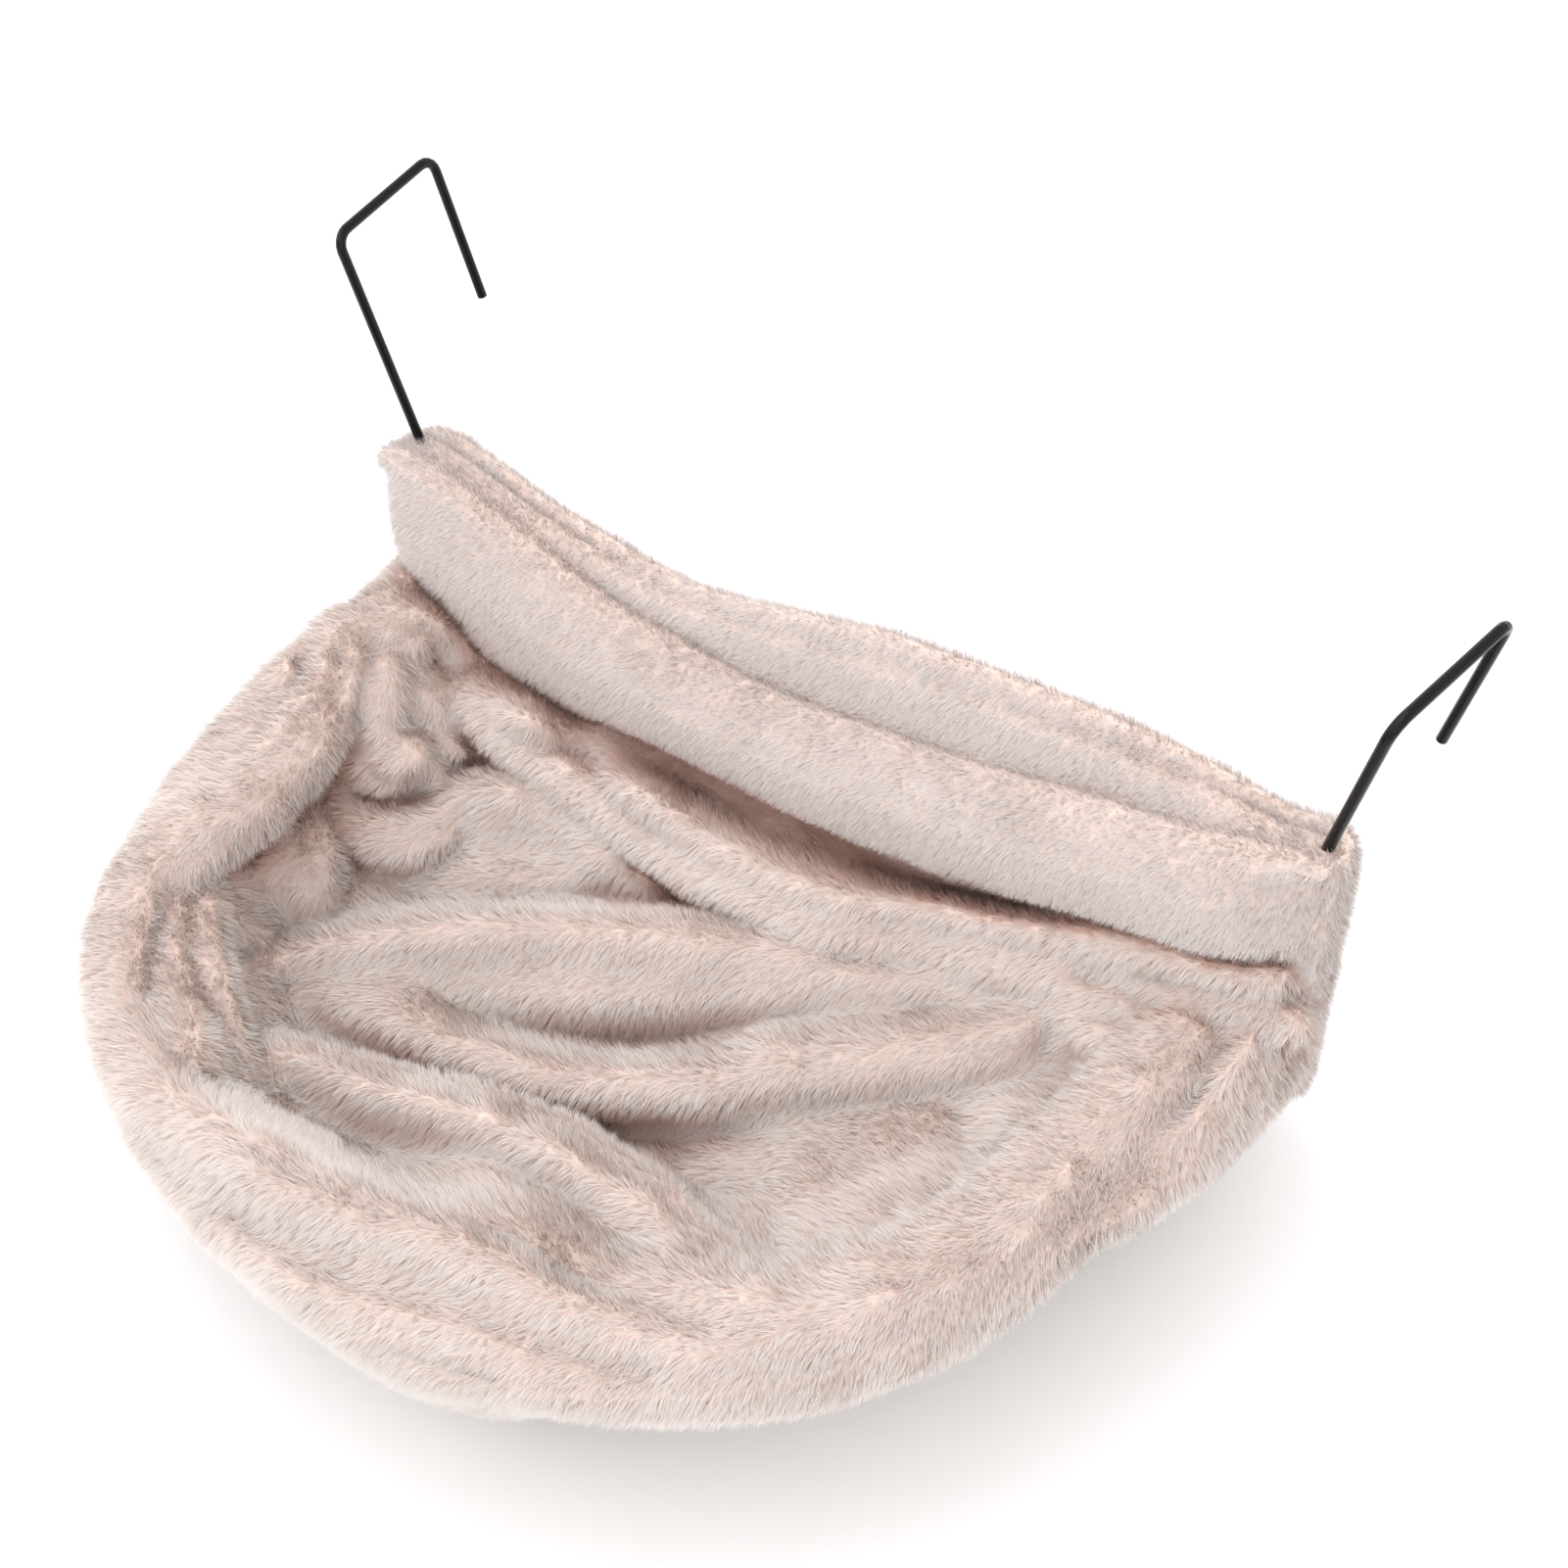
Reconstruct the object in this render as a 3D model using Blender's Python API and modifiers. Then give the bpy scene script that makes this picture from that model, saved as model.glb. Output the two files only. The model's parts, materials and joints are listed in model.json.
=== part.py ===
"""Radiator cat bed: a plush hammock on a wire hoop that hangs from two over-the-radiator hooks.

Metres, +Z up. The radiator stands behind the bed, towards +Y, and X runs along it.
The origin lies half way between the hooks, where their flat undersides rest on the radiator's top.
"""

import math

import bmesh
import bpy
import numpy as np
from mathutils import Matrix, Vector

# Driving sizes
WIRE_DIAMETER = 0.0045  # painted steel wire of the hooks and the hoop
HOOP_WIDTH = 0.420  # between the centre lines of the hoop's arms
HOOP_DEPTH = 0.305  # from the hook legs to the hoop's front
HOOP_DROP = 0.159  # from the hooks' seats down to the hoop
HOOK_REACH = 0.0656  # over the radiator's top, between wire centres
HOOK_LIP = 0.070  # down behind the radiator's top
HOOK_BEND = 0.007  # radius of the wire's bends, on its centre line
LEG_SPLAY = math.radians(11.24)  # the legs lean outwards
HOOK_TOE = math.radians(7.5)  # the bars turn outwards, as the hooks stand in their sockets
COVER_RISE = 0.075  # mean height of the pocket's top seam over the hoop
BAG_DEPTH = 0.090  # from the hoop down to the underside of the bag
CLEARANCE = 0.0003  # between pieces that touch

# Frame
HOOK_SIDE_STEPS = 4  # bevel resolution: 12 sides, so that one side lies flat on the radiator
HOOP_SIDE_STEPS = 2
WIRE_RADIUS = WIRE_DIAMETER / 2
BEND_STEPS = 5
DOME_STEPS = 3
RAIL_DIAMETER = 0.010
RAIL_WALL = 0.001
CONNECTOR_WALL = 0.0028
LEG_SOCKET_HEIGHT = 0.028
HOOP_SOCKET_LENGTH = 0.026
RAIL_SOCKET_LENGTH = 0.024
SOCKET_FLOOR = 0.006  # solid plastic behind each blind bore, measured from the connector's centre
BARREL_END = 0.0085  # the rail socket's barrel runs on past the leg
ARM_WALL_SHARE = 0.85  # of the wall, round the hoop's arm
CAP_RADIUS = 0.0062
CAP_HEIGHT = 0.0052
CAP_GRIP = 0.0036  # depth of the wire in its cap
CAP_EDGE_SHARE = 0.08  # of its radius, and of its height half as much again, for the softened edge
CAP_DOME_SHARE = 0.5  # of its height
CUT_OVERRUN = 0.004

# Cover
RIM_RADIUS = 0.015  # plush sleeve round the hoop
RIM_END_SHARE = 0.50  # of that radius where the sleeve tucks in under the pocket
BAG_WALL = 0.004
BAG_SWELL = 0.029  # the bag's sides beyond the hoop
BAG_CORNER = 0.022
BAG_BACK_SHARE = 0.25  # of BAG_DEPTH, how far its back edge lies under the hoop
POCKET_OVERHANG = 0.012  # past the hoop's arms, where the layers meet beside the connectors
COVER_OVERHANG = 0.026  # past the hoop's arms, to the pocket's ends
BAND_SWELL = 0.036  # how far the front layer stands out
PANEL_BACK = 0.020  # the rear layer's flat back, which lies against the radiator
PANEL_THIN = 0.0125  # its front face below the pocket
PANEL_DROP = 0.064  # its lower edge under the hoop
PANEL_EDGE = 0.003
PANEL_CORNER = 0.022
PANEL_STEP_SHARE = 0.16  # of COVER_RISE under the hoop, where it steps back from the pocket
LAYER_OPEN_SHARE = 0.34  # of COVER_RISE under the seam, where the pocket is fully open
LAYER_MEET_SHARE = 0.22  # and where its layers meet
TAPE_WIDTH_SHARE = 0.857  # of HOOP_WIDTH
TAPE_HEIGHT = 0.025
TAPE_THICKNESS = 0.0014
TAPE_DROP = 0.040  # centre of the fastening tapes under the hoop

HOOP_RADIUS = HOOP_WIDTH / 2
WIRE_BORE = WIRE_RADIUS + CLEARANCE
RAIL_BORE = RAIL_DIAMETER / 2 + CLEARANCE
BARREL_RADIUS = RAIL_BORE + CONNECTOR_WALL
POCKET_HALF = BARREL_RADIUS + CLEARANCE * 3  # room for rail and connectors, each way
ARM_LENGTH = HOOP_DEPTH - HOOP_RADIUS
HOOP_Z = -HOOP_DROP
POCKET_SIDE = HOOP_RADIUS + POCKET_OVERHANG
COVER_HALF_WIDTH = HOOP_RADIUS + COVER_OVERHANG
LEG_HOLE_HEIGHT = COVER_RISE * 2  # more than the pocket's height, to cut right through its seam
RIM_START = HOOP_SOCKET_LENGTH + CLEARANCE * 2  # the sleeve begins past the hoop's sockets
POCKET_FRONT = BAND_SWELL + WIRE_RADIUS

# Heights along the pocket, as shares of COVER_RISE over the hoop, at shares of COVER_HALF_WIDTH
SEAM_SHARES = [(-1, 0.81), (-0.66, 0.73), (-0.33, 0.66), (0.12, 0.87), (0.59, 1.08), (1, 1.16)]
CREST_SHARES = [
    (-1, 0.88), (-0.72, 0.76), (-0.49, 0.54), (-0.26, 0.47),
    (0, 0.50), (0.38, 0.77), (0.73, 1.04), (1, 1.12),
]
CREASE_SHARES = [
    (-1, 0.22), (-0.78, 0.20), (-0.65, -0.30), (-0.50, -0.34), (-0.27, -0.20), (0.05, -0.14),
    (0.26, -0.04), (0.42, 0.08), (0.61, 0.32), (0.75, 0.48), (1, 0.62),
]
HEM_SHARES = [
    (-1, 0.14), (-0.78, 0.13), (-0.65, -0.38), (-0.50, -0.42), (-0.27, -0.28), (0.05, -0.24),
    (0.26, -0.16), (0.42, -0.10), (0.61, 0.03), (0.78, 0.13), (1, 0.14),
]
SOFTEN_SHARE = 0.06  # of the cover's half width, over which those heights turn softly

# The lining's main folds. Each point is (x as a share of HOOP_RADIUS, distance forward as a share
# of HOOP_DEPTH, crest height as a share of BAG_DEPTH from the hoop), and each fold ends in its
# half width as a share of HOOP_RADIUS.
FOLD_SHARES = {
    "behind_the_band": (
        [
            (-0.80, 0.13, -0.36), (-0.53, 0.18, -0.32), (-0.29, 0.20, -0.30), (-0.06, 0.21, -0.28),
            (0.13, 0.20, -0.26), (0.33, 0.17, -0.19), (0.53, 0.14, -0.10), (0.74, 0.13, 0.0),
            (0.90, 0.13, 0.04),
        ],
        0.115,
    ),
    "arch": (
        [
            (-0.73, 0.40, -0.41), (-0.71, 0.34, -0.39), (-0.66, 0.28, -0.37), (-0.57, 0.25, -0.37),
            (-0.44, 0.26, -0.37), (-0.29, 0.29, -0.37), (-0.20, 0.34, -0.42),
        ],
        0.110,
    ),
    "upper_roll": (
        [
            (-0.67, 0.67, -0.43), (-0.55, 0.60, -0.37), (-0.37, 0.52, -0.34), (-0.19, 0.46, -0.32),
            (0.04, 0.37, -0.30), (0.23, 0.30, -0.28), (0.40, 0.26, -0.28), (0.57, 0.22, -0.26),
        ],
        0.125,
    ),
    "lower_roll": (
        [
            (-0.56, 0.71, -0.48), (-0.34, 0.66, -0.37), (-0.10, 0.60, -0.34), (0.08, 0.55, -0.32),
            (0.30, 0.46, -0.30), (0.47, 0.38, -0.24), (0.63, 0.30, -0.16), (0.77, 0.25, -0.10),
            (0.90, 0.26, -0.08),
        ],
        0.140,
    ),
    "front_fold": (
        [
            (-0.45, 0.79, -0.42), (-0.31, 0.76, -0.37), (-0.16, 0.73, -0.34), (0.03, 0.71, -0.32),
            (0.21, 0.69, -0.30), (0.39, 0.68, -0.28), (0.56, 0.66, -0.26),
        ],
        0.110,
    ),
    "side_flap": (
        [
            (-0.84, 0.50, -0.26), (-0.84, 0.60, -0.24), (-0.76, 0.69, -0.24), (-0.64, 0.76, -0.24),
            (-0.50, 0.82, -0.26),
        ],
        0.100,
    ),
}
FOLD_BLEND = 3  # the higher, the sharper the creases where folds meet
# The slack floor between the folds, in the same shares.
FLOOR_SHARES = {
    "crease_between_rolls": [(-0.42, 0.55, -0.57), (-0.04, 0.43, -0.81), (0.06, 0.38, -0.79),
        (0.16, 0.33, -0.7), (0.35, 0.28, -0.5)],
    "deep_hollow": [(-0.16, 0.6, -0.78), (0.47, 0.39, -0.56)],
    "crease_inside_rim": [(-0.23, 0.83, -0.39), (-0.05, 0.82, -0.29), (0.14, 0.81, -0.08),
        (0.26, 0.81, 0.01)],
    "near_slope": [(0.44, 0.53, -0.54), (0.57, 0.59, -0.34), (0.53, 0.46, -0.48),
        (0.63, 0.55, -0.32), (0.63, 0.42, -0.39), (0.72, 0.5, -0.26), (0.73, 0.38, -0.3),
        (0.83, 0.48, -0.12), (0.82, 0.34, -0.19)],
    "plateau": [(-0.59, 0.34, -0.51), (-0.48, 0.29, -0.5), (-0.37, 0.28, -0.51),
        (-0.6, 0.42, -0.59), (-0.47, 0.37, -0.57), (-0.36, 0.33, -0.56), (-0.25, 0.28, -0.57)],
    "hollow_behind_arch": [(-0.76, 0.22, -0.62), (-0.61, 0.16, -0.61), (-0.41, 0.17, -0.61),
        (-0.29, 0.18, -0.61), (-0.18, 0.19, -0.6)],
    "rear_floor": [(-0.71, 0.54, -0.68), (-0.67, 0.48, -0.7), (-0.56, 0.42, -0.72),
        (-0.08, 0.21, -0.68)],
    "its_foot": [(-0.73, 0.18, -0.63), (-0.59, 0.19, -0.66), (-0.37, 0.19, -0.68),
        (-0.25, 0.2, -0.66), (0.1, 0.21, -0.51), (0.3, 0.18, -0.46)],
    "side_flap_foot": [(-0.58, 0.72, -0.66)],
    "left_wall_foot": [(-0.85, 0.45, -0.5), (-0.76, 0.52, -0.62)],
    "front_fold_face": [(-0.39, 0.79, -0.41), (-0.27, 0.78, -0.39), (-0.14, 0.76, -0.36),
        (-0.02, 0.74, -0.32), (0.12, 0.72, -0.28), (0.28, 0.72, -0.22), (0.43, 0.73, -0.14)],
    "rim_crest": [(0.2, 0.9, 0.19)],
}
FLOOR_ROUND_SHARE = 0.07  # of HOOP_RADIUS, how softly that floor turns
FLOOR_EASE_SHARE = 0.06  # of HOOP_RADIUS, how freely it passes its points
FLOOR_LIMIT_SHARE = 0.74  # of BAG_DEPTH, the lowest that its top lies under the hoop
EDGE_BLEND_SHARE = 0.90  # the folds run out between here and the rim
EDGE_PLACES = 24  # places round the rim that the lining is drawn up to
REAR_RISE = 0.024  # the lining climbs to the band over this depth

# The bag's wall: (drop as a share of BAG_DEPTH, how far it stands out from the hoop as shares of
# BAG_SWELL, at BAG_PLACES from the rear end of the left arm to that of the right arm)
BAG_PLACES = [0, 0.11, 0.24, 0.37, 0.5, 0.63, 0.76, 0.89, 1]
BAG_WALL_SHARES = [
    (0.09, [0.83, 0.80, 0.93, 0.90, 0.70, 0.66, 0.66, 0.90, 1.07]),
    (0.18, [1.03, 0.97, 1.14, 1.00, 0.55, 0.50, 0.43, 0.86, 1.10]),
    (0.26, [1.14, 1.10, 1.17, 1.03, 0.52, 0.42, 0.08, 0.69, 1.05]),
    (0.36, [1.14, 1.14, 1.17, 1.03, 0.48, 0.30, -0.30, 0.48, 0.97]),
    (0.51, [1.07, 1.14, 1.14, 0.97, 0.40, 0.14, -0.52, 0.24, 0.76]),
    (0.68, [0.97, 1.00, 0.90, 0.79, 0.24, -0.10, -0.76, -0.03, 0.52]),
    (0.82, [0.69, 0.72, 0.59, 0.48, 0.0, -0.41, -1.03, -0.38, 0.21]),
    (0.92, [0.21, 0.24, 0.10, 0.0, -0.45, -0.90, -1.48, -0.86, -0.28]),
]
# Under that wall: (scale about the bag's centre, drop as a share of BAG_DEPTH)
BAG_RING_SHARES = [(0.72, 0.97), (0.40, 1.0)]
LINING_RING_SHARES = [(0.93, 0.36), (0.80, 0.78), (0.62, 0.88), (0.34, 0.92)]
# The pocket's front layer: (share of BAND_SWELL forward, share of the way from crest to crease)
BAND_CROWN_SHARES = [(0.34, -0.02), (0.72, 0.12), (0.95, 0.34), (1.0, 0.60), (0.92, 0.84)]
BAND_TUCK_SHARE = 0.70
BAND_END_SHARE = 0.80  # of BAND_SWELL at the pocket's ends
BAND_END_POWER = 8  # the higher, the closer to the ends it draws in
BAND_LOWER_SHARES = [(0.88, 0.35), (0.84, 0.72), (0.55, 1.0)]
# The rear layer's top folds: (share of PANEL_BACK, height over the seam as a share of PANEL_BACK)
PANEL_FOLD_SHARES = [(0.22, 0.22), (0.42, 0.06), (0.62, 0.30), (0.82, 0.16)]

BOW_STEPS = 28  # shared by the hoop, its sleeve and the bag, whose facets then lie alike
ARM_STEPS = 4
CORNER_STEPS = 3
BACK_STEPS = 8
RIM_SIDES = 10
LINING_COLUMNS = 40
LINING_ARM_ROWS = 12
LINING_FRONT_ROWS = 24
LINING_TIP_SHARE = 0.97  # of a quarter turn, where the last row lies
COVER_SECTIONS = 24
PLUSH = (0.80, 0.68, 0.62)
PLUSH_OUTSIDE = (0.83, 0.73, 0.68)


def remove_everything():
    for obj in list(bpy.data.objects):
        bpy.data.objects.remove(obj, do_unlink=True)


def new_collection(name):
    collection = bpy.data.collections.new(name)
    bpy.context.scene.collection.children.link(collection)
    return collection


def surface(name, colour, roughness, metallic=0.0):
    material = bpy.data.materials.new(name)
    material.use_nodes = True
    shader = material.node_tree.nodes["Principled BSDF"]
    shader.inputs["Base Color"].default_value = (*colour, 1)
    shader.inputs["Roughness"].default_value = roughness
    shader.inputs["Metallic"].default_value = metallic
    return material


def add_object(name, data, material, collection, place=None):
    obj = bpy.data.objects.new(name, data)
    data.materials.append(material)
    collection.objects.link(obj)
    if place is not None:
        obj.matrix_world = place
    return obj


def mesh_object(name, bm, material, collection, place=None):
    mesh = bpy.data.meshes.new(name)
    bm.to_mesh(mesh)
    bm.free()
    mesh.shade_smooth()
    mesh.set_sharp_from_angle(angle=math.radians(50))
    return add_object(name, mesh, material, collection, place)


def rounded_path(corners, radius):
    """The corners' polyline with an arc at each inner corner."""
    corners = [Vector(corner) for corner in corners]
    path = [corners[0]]
    for before, corner, after in zip(corners, corners[1:], corners[2:]):
        back, on = (before - corner).normalized(), (after - corner).normalized()
        half = back.angle(on) / 2
        centre = corner + (back + on).normalized() * radius / math.sin(half)
        first = corner + back * radius / math.tan(half) - centre
        last = corner + on * radius / math.tan(half) - centre
        turn = first.angle(last)
        for step in range(BEND_STEPS + 1):
            share = step / BEND_STEPS
            weights = math.sin((1 - share) * turn), math.sin(share * turn)
            path.append(centre + (first * weights[0] + last * weights[1]) / math.sin(turn))
    return path + [corners[-1]]


def wire(name, path, radius, side_steps, tilt, material, collection, place=None):
    curve = bpy.data.curves.new(name, "CURVE")
    curve.dimensions = "3D"
    curve.bevel_depth = radius
    curve.bevel_resolution = side_steps
    curve.use_fill_caps = True
    spline = curve.splines.new("POLY")
    spline.points.add(len(path) - 1)
    for point, position in zip(spline.points, path):
        point.co = (*position, 1)
        point.tilt = tilt
    return add_object(name, curve, material, collection, place)


def leg_axis(side):
    lean, toe = math.sin(LEG_SPLAY), HOOK_TOE
    return Vector((side * lean * math.cos(toe), -lean * math.sin(toe), math.cos(LEG_SPLAY)))


def leg_place(side):
    """The leg socket's frame: origin on the hoop's plane, Z up the leg, Y along the hook's bar."""
    up = leg_axis(side)
    bar = Vector((side * math.sin(HOOK_TOE), math.cos(HOOK_TOE), 0))
    turn = Matrix((bar.cross(up), bar, up)).transposed().to_4x4()
    return Matrix.Translation((side * HOOP_RADIUS, 0, HOOP_Z)) @ turn


def make_hook(name, side, material, collection):
    flat = WIRE_RADIUS * math.cos(math.pi / (2 * HOOK_SIDE_STEPS + 4))
    top = (HOOP_DROP + flat) / math.cos(LEG_SPLAY)
    foot = -LEG_SOCKET_HEIGHT / 2 - CLEARANCE - CAP_GRIP
    corners = [(0, 0, foot), (0, 0, top), (0, HOOK_REACH, top), (0, HOOK_REACH, top - HOOK_LIP)]
    # The tilt turns one side of the wire square to the radiator's flat top.
    tilt = math.pi / (2 * HOOK_SIDE_STEPS + 4) - side * LEG_SPLAY
    path = rounded_path(corners, HOOK_BEND)
    return wire(name, path, WIRE_RADIUS, HOOK_SIDE_STEPS, tilt, material, collection, leg_place(side))


def turned(name, profile, material, collection, place, steps=20):
    """A profile of (radius, height) points, from the top of the outer side down, turned about Z."""
    bm = bmesh.new()
    points = [bm.verts.new((radius, 0, height)) for radius, height in profile]
    for first, second in zip(points, points[1:]):
        bm.edges.new((first, second))
    obj = mesh_object(name, bm, material, collection, place)
    screw = obj.modifiers.new("Turn", "SCREW")
    screw.steps = screw.render_steps = steps
    screw.use_merge_vertices = True
    screw.merge_threshold = CLEARANCE / 10
    return obj


def make_leg_cap(name, side, material, collection):
    """A push-on cap that keeps the leg in its socket: a shallow dome with a blind bore."""
    top = -LEG_SOCKET_HEIGHT / 2 - CLEARANCE
    bore = WIRE_RADIUS + CLEARANCE
    floor = top - CAP_GRIP - CLEARANCE
    shoulder = top - CAP_HEIGHT * (1 - CAP_DOME_SHARE)
    profile = [(bore, top), (CAP_RADIUS * (1 - CAP_EDGE_SHARE), top)]
    profile += [(CAP_RADIUS, top - CAP_HEIGHT * CAP_EDGE_SHARE * 1.5), (CAP_RADIUS, shoulder)]
    for step in range(1, DOME_STEPS):
        angle = math.pi / 2 * step / DOME_STEPS
        drop = CAP_HEIGHT * CAP_DOME_SHARE * math.sin(angle)
        profile.append((CAP_RADIUS * math.cos(angle), shoulder - drop))
    profile.append((0, top - CAP_HEIGHT))
    profile += [(0, floor), (bore, floor), (bore, top)]
    return turned(name, profile, material, collection, leg_place(side))


def cylinder(radius, start, end, name, collection, material, sides=24):
    """A round bar between two points."""
    along = end - start
    bm = bmesh.new()
    size = {"radius1": radius, "radius2": radius, "depth": along.length}
    bmesh.ops.create_cone(bm, cap_ends=True, segments=sides, **size)
    turn = along.to_track_quat("Z", "Y").to_matrix().to_4x4()
    return mesh_object(name, bm, material, collection, Matrix.Translation((start + end) / 2) @ turn)


def combine(obj, others, operation):
    for other in others:
        other.hide_render = True
        other.display_type = "WIRE"
        step = obj.modifiers.new(operation.title(), "BOOLEAN")
        step.operation = operation
        step.object = other


def make_connector(name, side, material, collection, cutters):
    """A moulded corner piece with three sockets: for the hook's leg, the rail and the hoop's arm."""
    centre = Vector((side * HOOP_RADIUS, 0, HOOP_Z))
    up, inward, forward = leg_axis(side), Vector((-side, 0, 0)), Vector((0, -1, 0))
    leg_wall, arm_wall = WIRE_BORE + CONNECTOR_WALL, WIRE_BORE + CONNECTOR_WALL * ARM_WALL_SHARE
    leg = up * LEG_SOCKET_HEIGHT / 2
    leg_cut = leg + up * CUT_OVERRUN
    arm_end = centre + forward * HOOP_SOCKET_LENGTH
    rail_end = centre + inward * RAIL_SOCKET_LENGTH

    def bar(word, radius, start, end):
        return cylinder(radius, start, end, f"{name}_{word}", cutters, material)

    body = cylinder(BARREL_RADIUS, centre - inward * BARREL_END, rail_end, name, collection, material)
    sockets = [bar("leg", leg_wall, centre - leg, centre + leg), bar("arm", arm_wall, centre, arm_end)]
    bores = [
        bar("leg_bore", WIRE_BORE, centre - leg_cut, centre + leg_cut),
        bar("rail_bore", RAIL_BORE, centre + inward * SOCKET_FLOOR, rail_end + inward * CUT_OVERRUN),
        bar("arm_bore", WIRE_BORE, centre + forward * SOCKET_FLOOR, arm_end + forward * CUT_OVERRUN),
    ]
    combine(body, sockets, "UNION")
    combine(body, bores, "DIFFERENCE")
    return body


def make_rail(material, collection):
    """A steel tube whose ends stop just short of the connectors' socket floors."""
    half = HOOP_RADIUS - SOCKET_FLOOR - CLEARANCE
    outer, inner = RAIL_DIAMETER / 2, RAIL_DIAMETER / 2 - RAIL_WALL
    profile = [(inner, half), (outer, half), (outer, -half), (inner, -half), (inner, half)]
    lying = Matrix.Translation((0, 0, HOOP_Z)) @ Matrix.Rotation(math.pi / 2, 4, "Y")
    return turned("rear_rail", profile, material, collection, lying)


def hoop_plan(offset=0.0, start=0.0):
    """The hoop's open U in plan, seen from above, from its left end to its right end."""
    radius = HOOP_RADIUS + offset
    arm = [(-radius, -start - (ARM_LENGTH - start) * step / ARM_STEPS) for step in range(ARM_STEPS)]
    bow = []
    for step in range(BOW_STEPS + 1):
        angle = math.pi * step / BOW_STEPS
        bow.append((-radius * math.cos(angle), -ARM_LENGTH - radius * math.sin(angle)))
    return arm + bow + [(-x, y) for x, y in reversed(arm)]


def make_hoop(material, collection):
    start = SOCKET_FLOOR + CLEARANCE
    path = [Vector((x, y, HOOP_Z)) for x, y in hoop_plan(0, start)]
    return wire("hoop_rod", path, WIRE_RADIUS, HOOP_SIDE_STEPS, 0.0, material, collection)


def share_at(table, share):
    """A height share read from its table, with soft turns between the entries."""
    places = [entry[0] for entry in table]
    values = [entry[1] for entry in table]
    near = (share - SOFTEN_SHARE, share, share + SOFTEN_SHARE)
    return float(np.mean(np.interp(near, places, values)))


def cover_height(table, x):
    return HOOP_Z + COVER_RISE * share_at(table, x / COVER_HALF_WIDTH)


def loft(rings):
    """A closed skin through rings of points, with a flat fan at each end."""
    bm = bmesh.new()
    skin = [[bm.verts.new(tuple(point)) for point in ring] for ring in rings]
    for first, second in zip(skin, skin[1:]):
        for a in range(len(first)):
            b = (a + 1) % len(first)
            bm.faces.new((first[a], first[b], second[b], second[a]))
    for ring in (skin[0], skin[-1]):
        middle = bm.verts.new(sum((vert.co for vert in ring), Vector()) / len(ring))
        for a in range(len(ring)):
            bm.faces.new((ring[a], ring[(a + 1) % len(ring)], middle))
    bmesh.ops.recalc_face_normals(bm, faces=bm.faces)
    return bm


def make_rim_sleeve(material, collection):
    """The plush tube sewn round the hoop, with the hoop's tunnel through it."""
    plan = [Vector((x, y, HOOP_Z)) for x, y in hoop_plan(0, RIM_START)]
    bm = bmesh.new()
    layers = []
    for index, point in enumerate(plan):
        ahead, behind = plan[min(index + 1, len(plan) - 1)], plan[max(index - 1, 0)]
        across = (ahead - behind).normalized().cross(Vector((0, 0, 1)))
        tucked = index in (0, len(plan) - 1)
        rings = []
        for radius in (RIM_RADIUS * (RIM_END_SHARE if tucked else 1), WIRE_RADIUS + CLEARANCE * 2):
            ring = []
            for side in range(RIM_SIDES):
                angle = 2 * math.pi * side / RIM_SIDES
                rise = Vector((0, 0, radius * math.sin(angle)))
                ring.append(bm.verts.new(point + across * radius * math.cos(angle) + rise))
            rings.append(ring)
        layers.append(rings)
    for (outer, inner), (outer_next, inner_next) in zip(layers, layers[1:]):
        for a in range(RIM_SIDES):
            b = (a + 1) % RIM_SIDES
            bm.faces.new((outer[a], outer[b], outer_next[b], outer_next[a]))
            bm.faces.new((inner[a], inner_next[a], inner_next[b], inner[b]))
    for outer, inner in (layers[0], layers[-1]):
        for a in range(RIM_SIDES):
            b = (a + 1) % RIM_SIDES
            bm.faces.new((outer[a], outer[b], inner[b], inner[a]))
    bmesh.ops.recalc_face_normals(bm, faces=bm.faces)
    return mesh_object("rim_sleeve", bm, material, collection)


def bag_outline(offset_at):
    """The bag's closed plan: straight sides, a round front and a flat back behind the rail."""
    bow = math.pi * HOOP_RADIUS
    whole = bow + 2 * ARM_LENGTH
    back = PANEL_THIN - TAPE_THICKNESS * 2 - CLEARANCE * 3
    corner_y = back - BAG_CORNER

    def flank(side):
        """One side from the bow's end to the back, with its rounded corner."""
        places = []
        for step in range(1, ARM_STEPS):
            y = -ARM_LENGTH + (corner_y + ARM_LENGTH) * step / ARM_STEPS
            share = np.clip(-y / whole, 0, 1)
            places.append((side * (HOOP_RADIUS + offset_at(share if side < 0 else 1 - share)), y))
        edge = HOOP_RADIUS + offset_at(0 if side < 0 else 1)
        for step in range(CORNER_STEPS + 1):
            angle = math.pi / 2 * step / CORNER_STEPS
            inwards = BAG_CORNER * (1 - math.cos(angle))
            places.append((side * (edge - inwards), corner_y + BAG_CORNER * math.sin(angle)))
        return places

    points = []
    for step in range(BOW_STEPS + 1):
        angle = math.pi * step / BOW_STEPS
        radius = HOOP_RADIUS + offset_at((ARM_LENGTH + HOOP_RADIUS * angle) / whole)
        points.append((-radius * math.cos(angle), -ARM_LENGTH - radius * math.sin(angle)))
    right, left = flank(1), flank(-1)
    rear = [(x, back) for x in np.linspace(right[-1][0], left[-1][0], BACK_STEPS + 1)[1:-1]]
    return points + right + rear + left[::-1]


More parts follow.
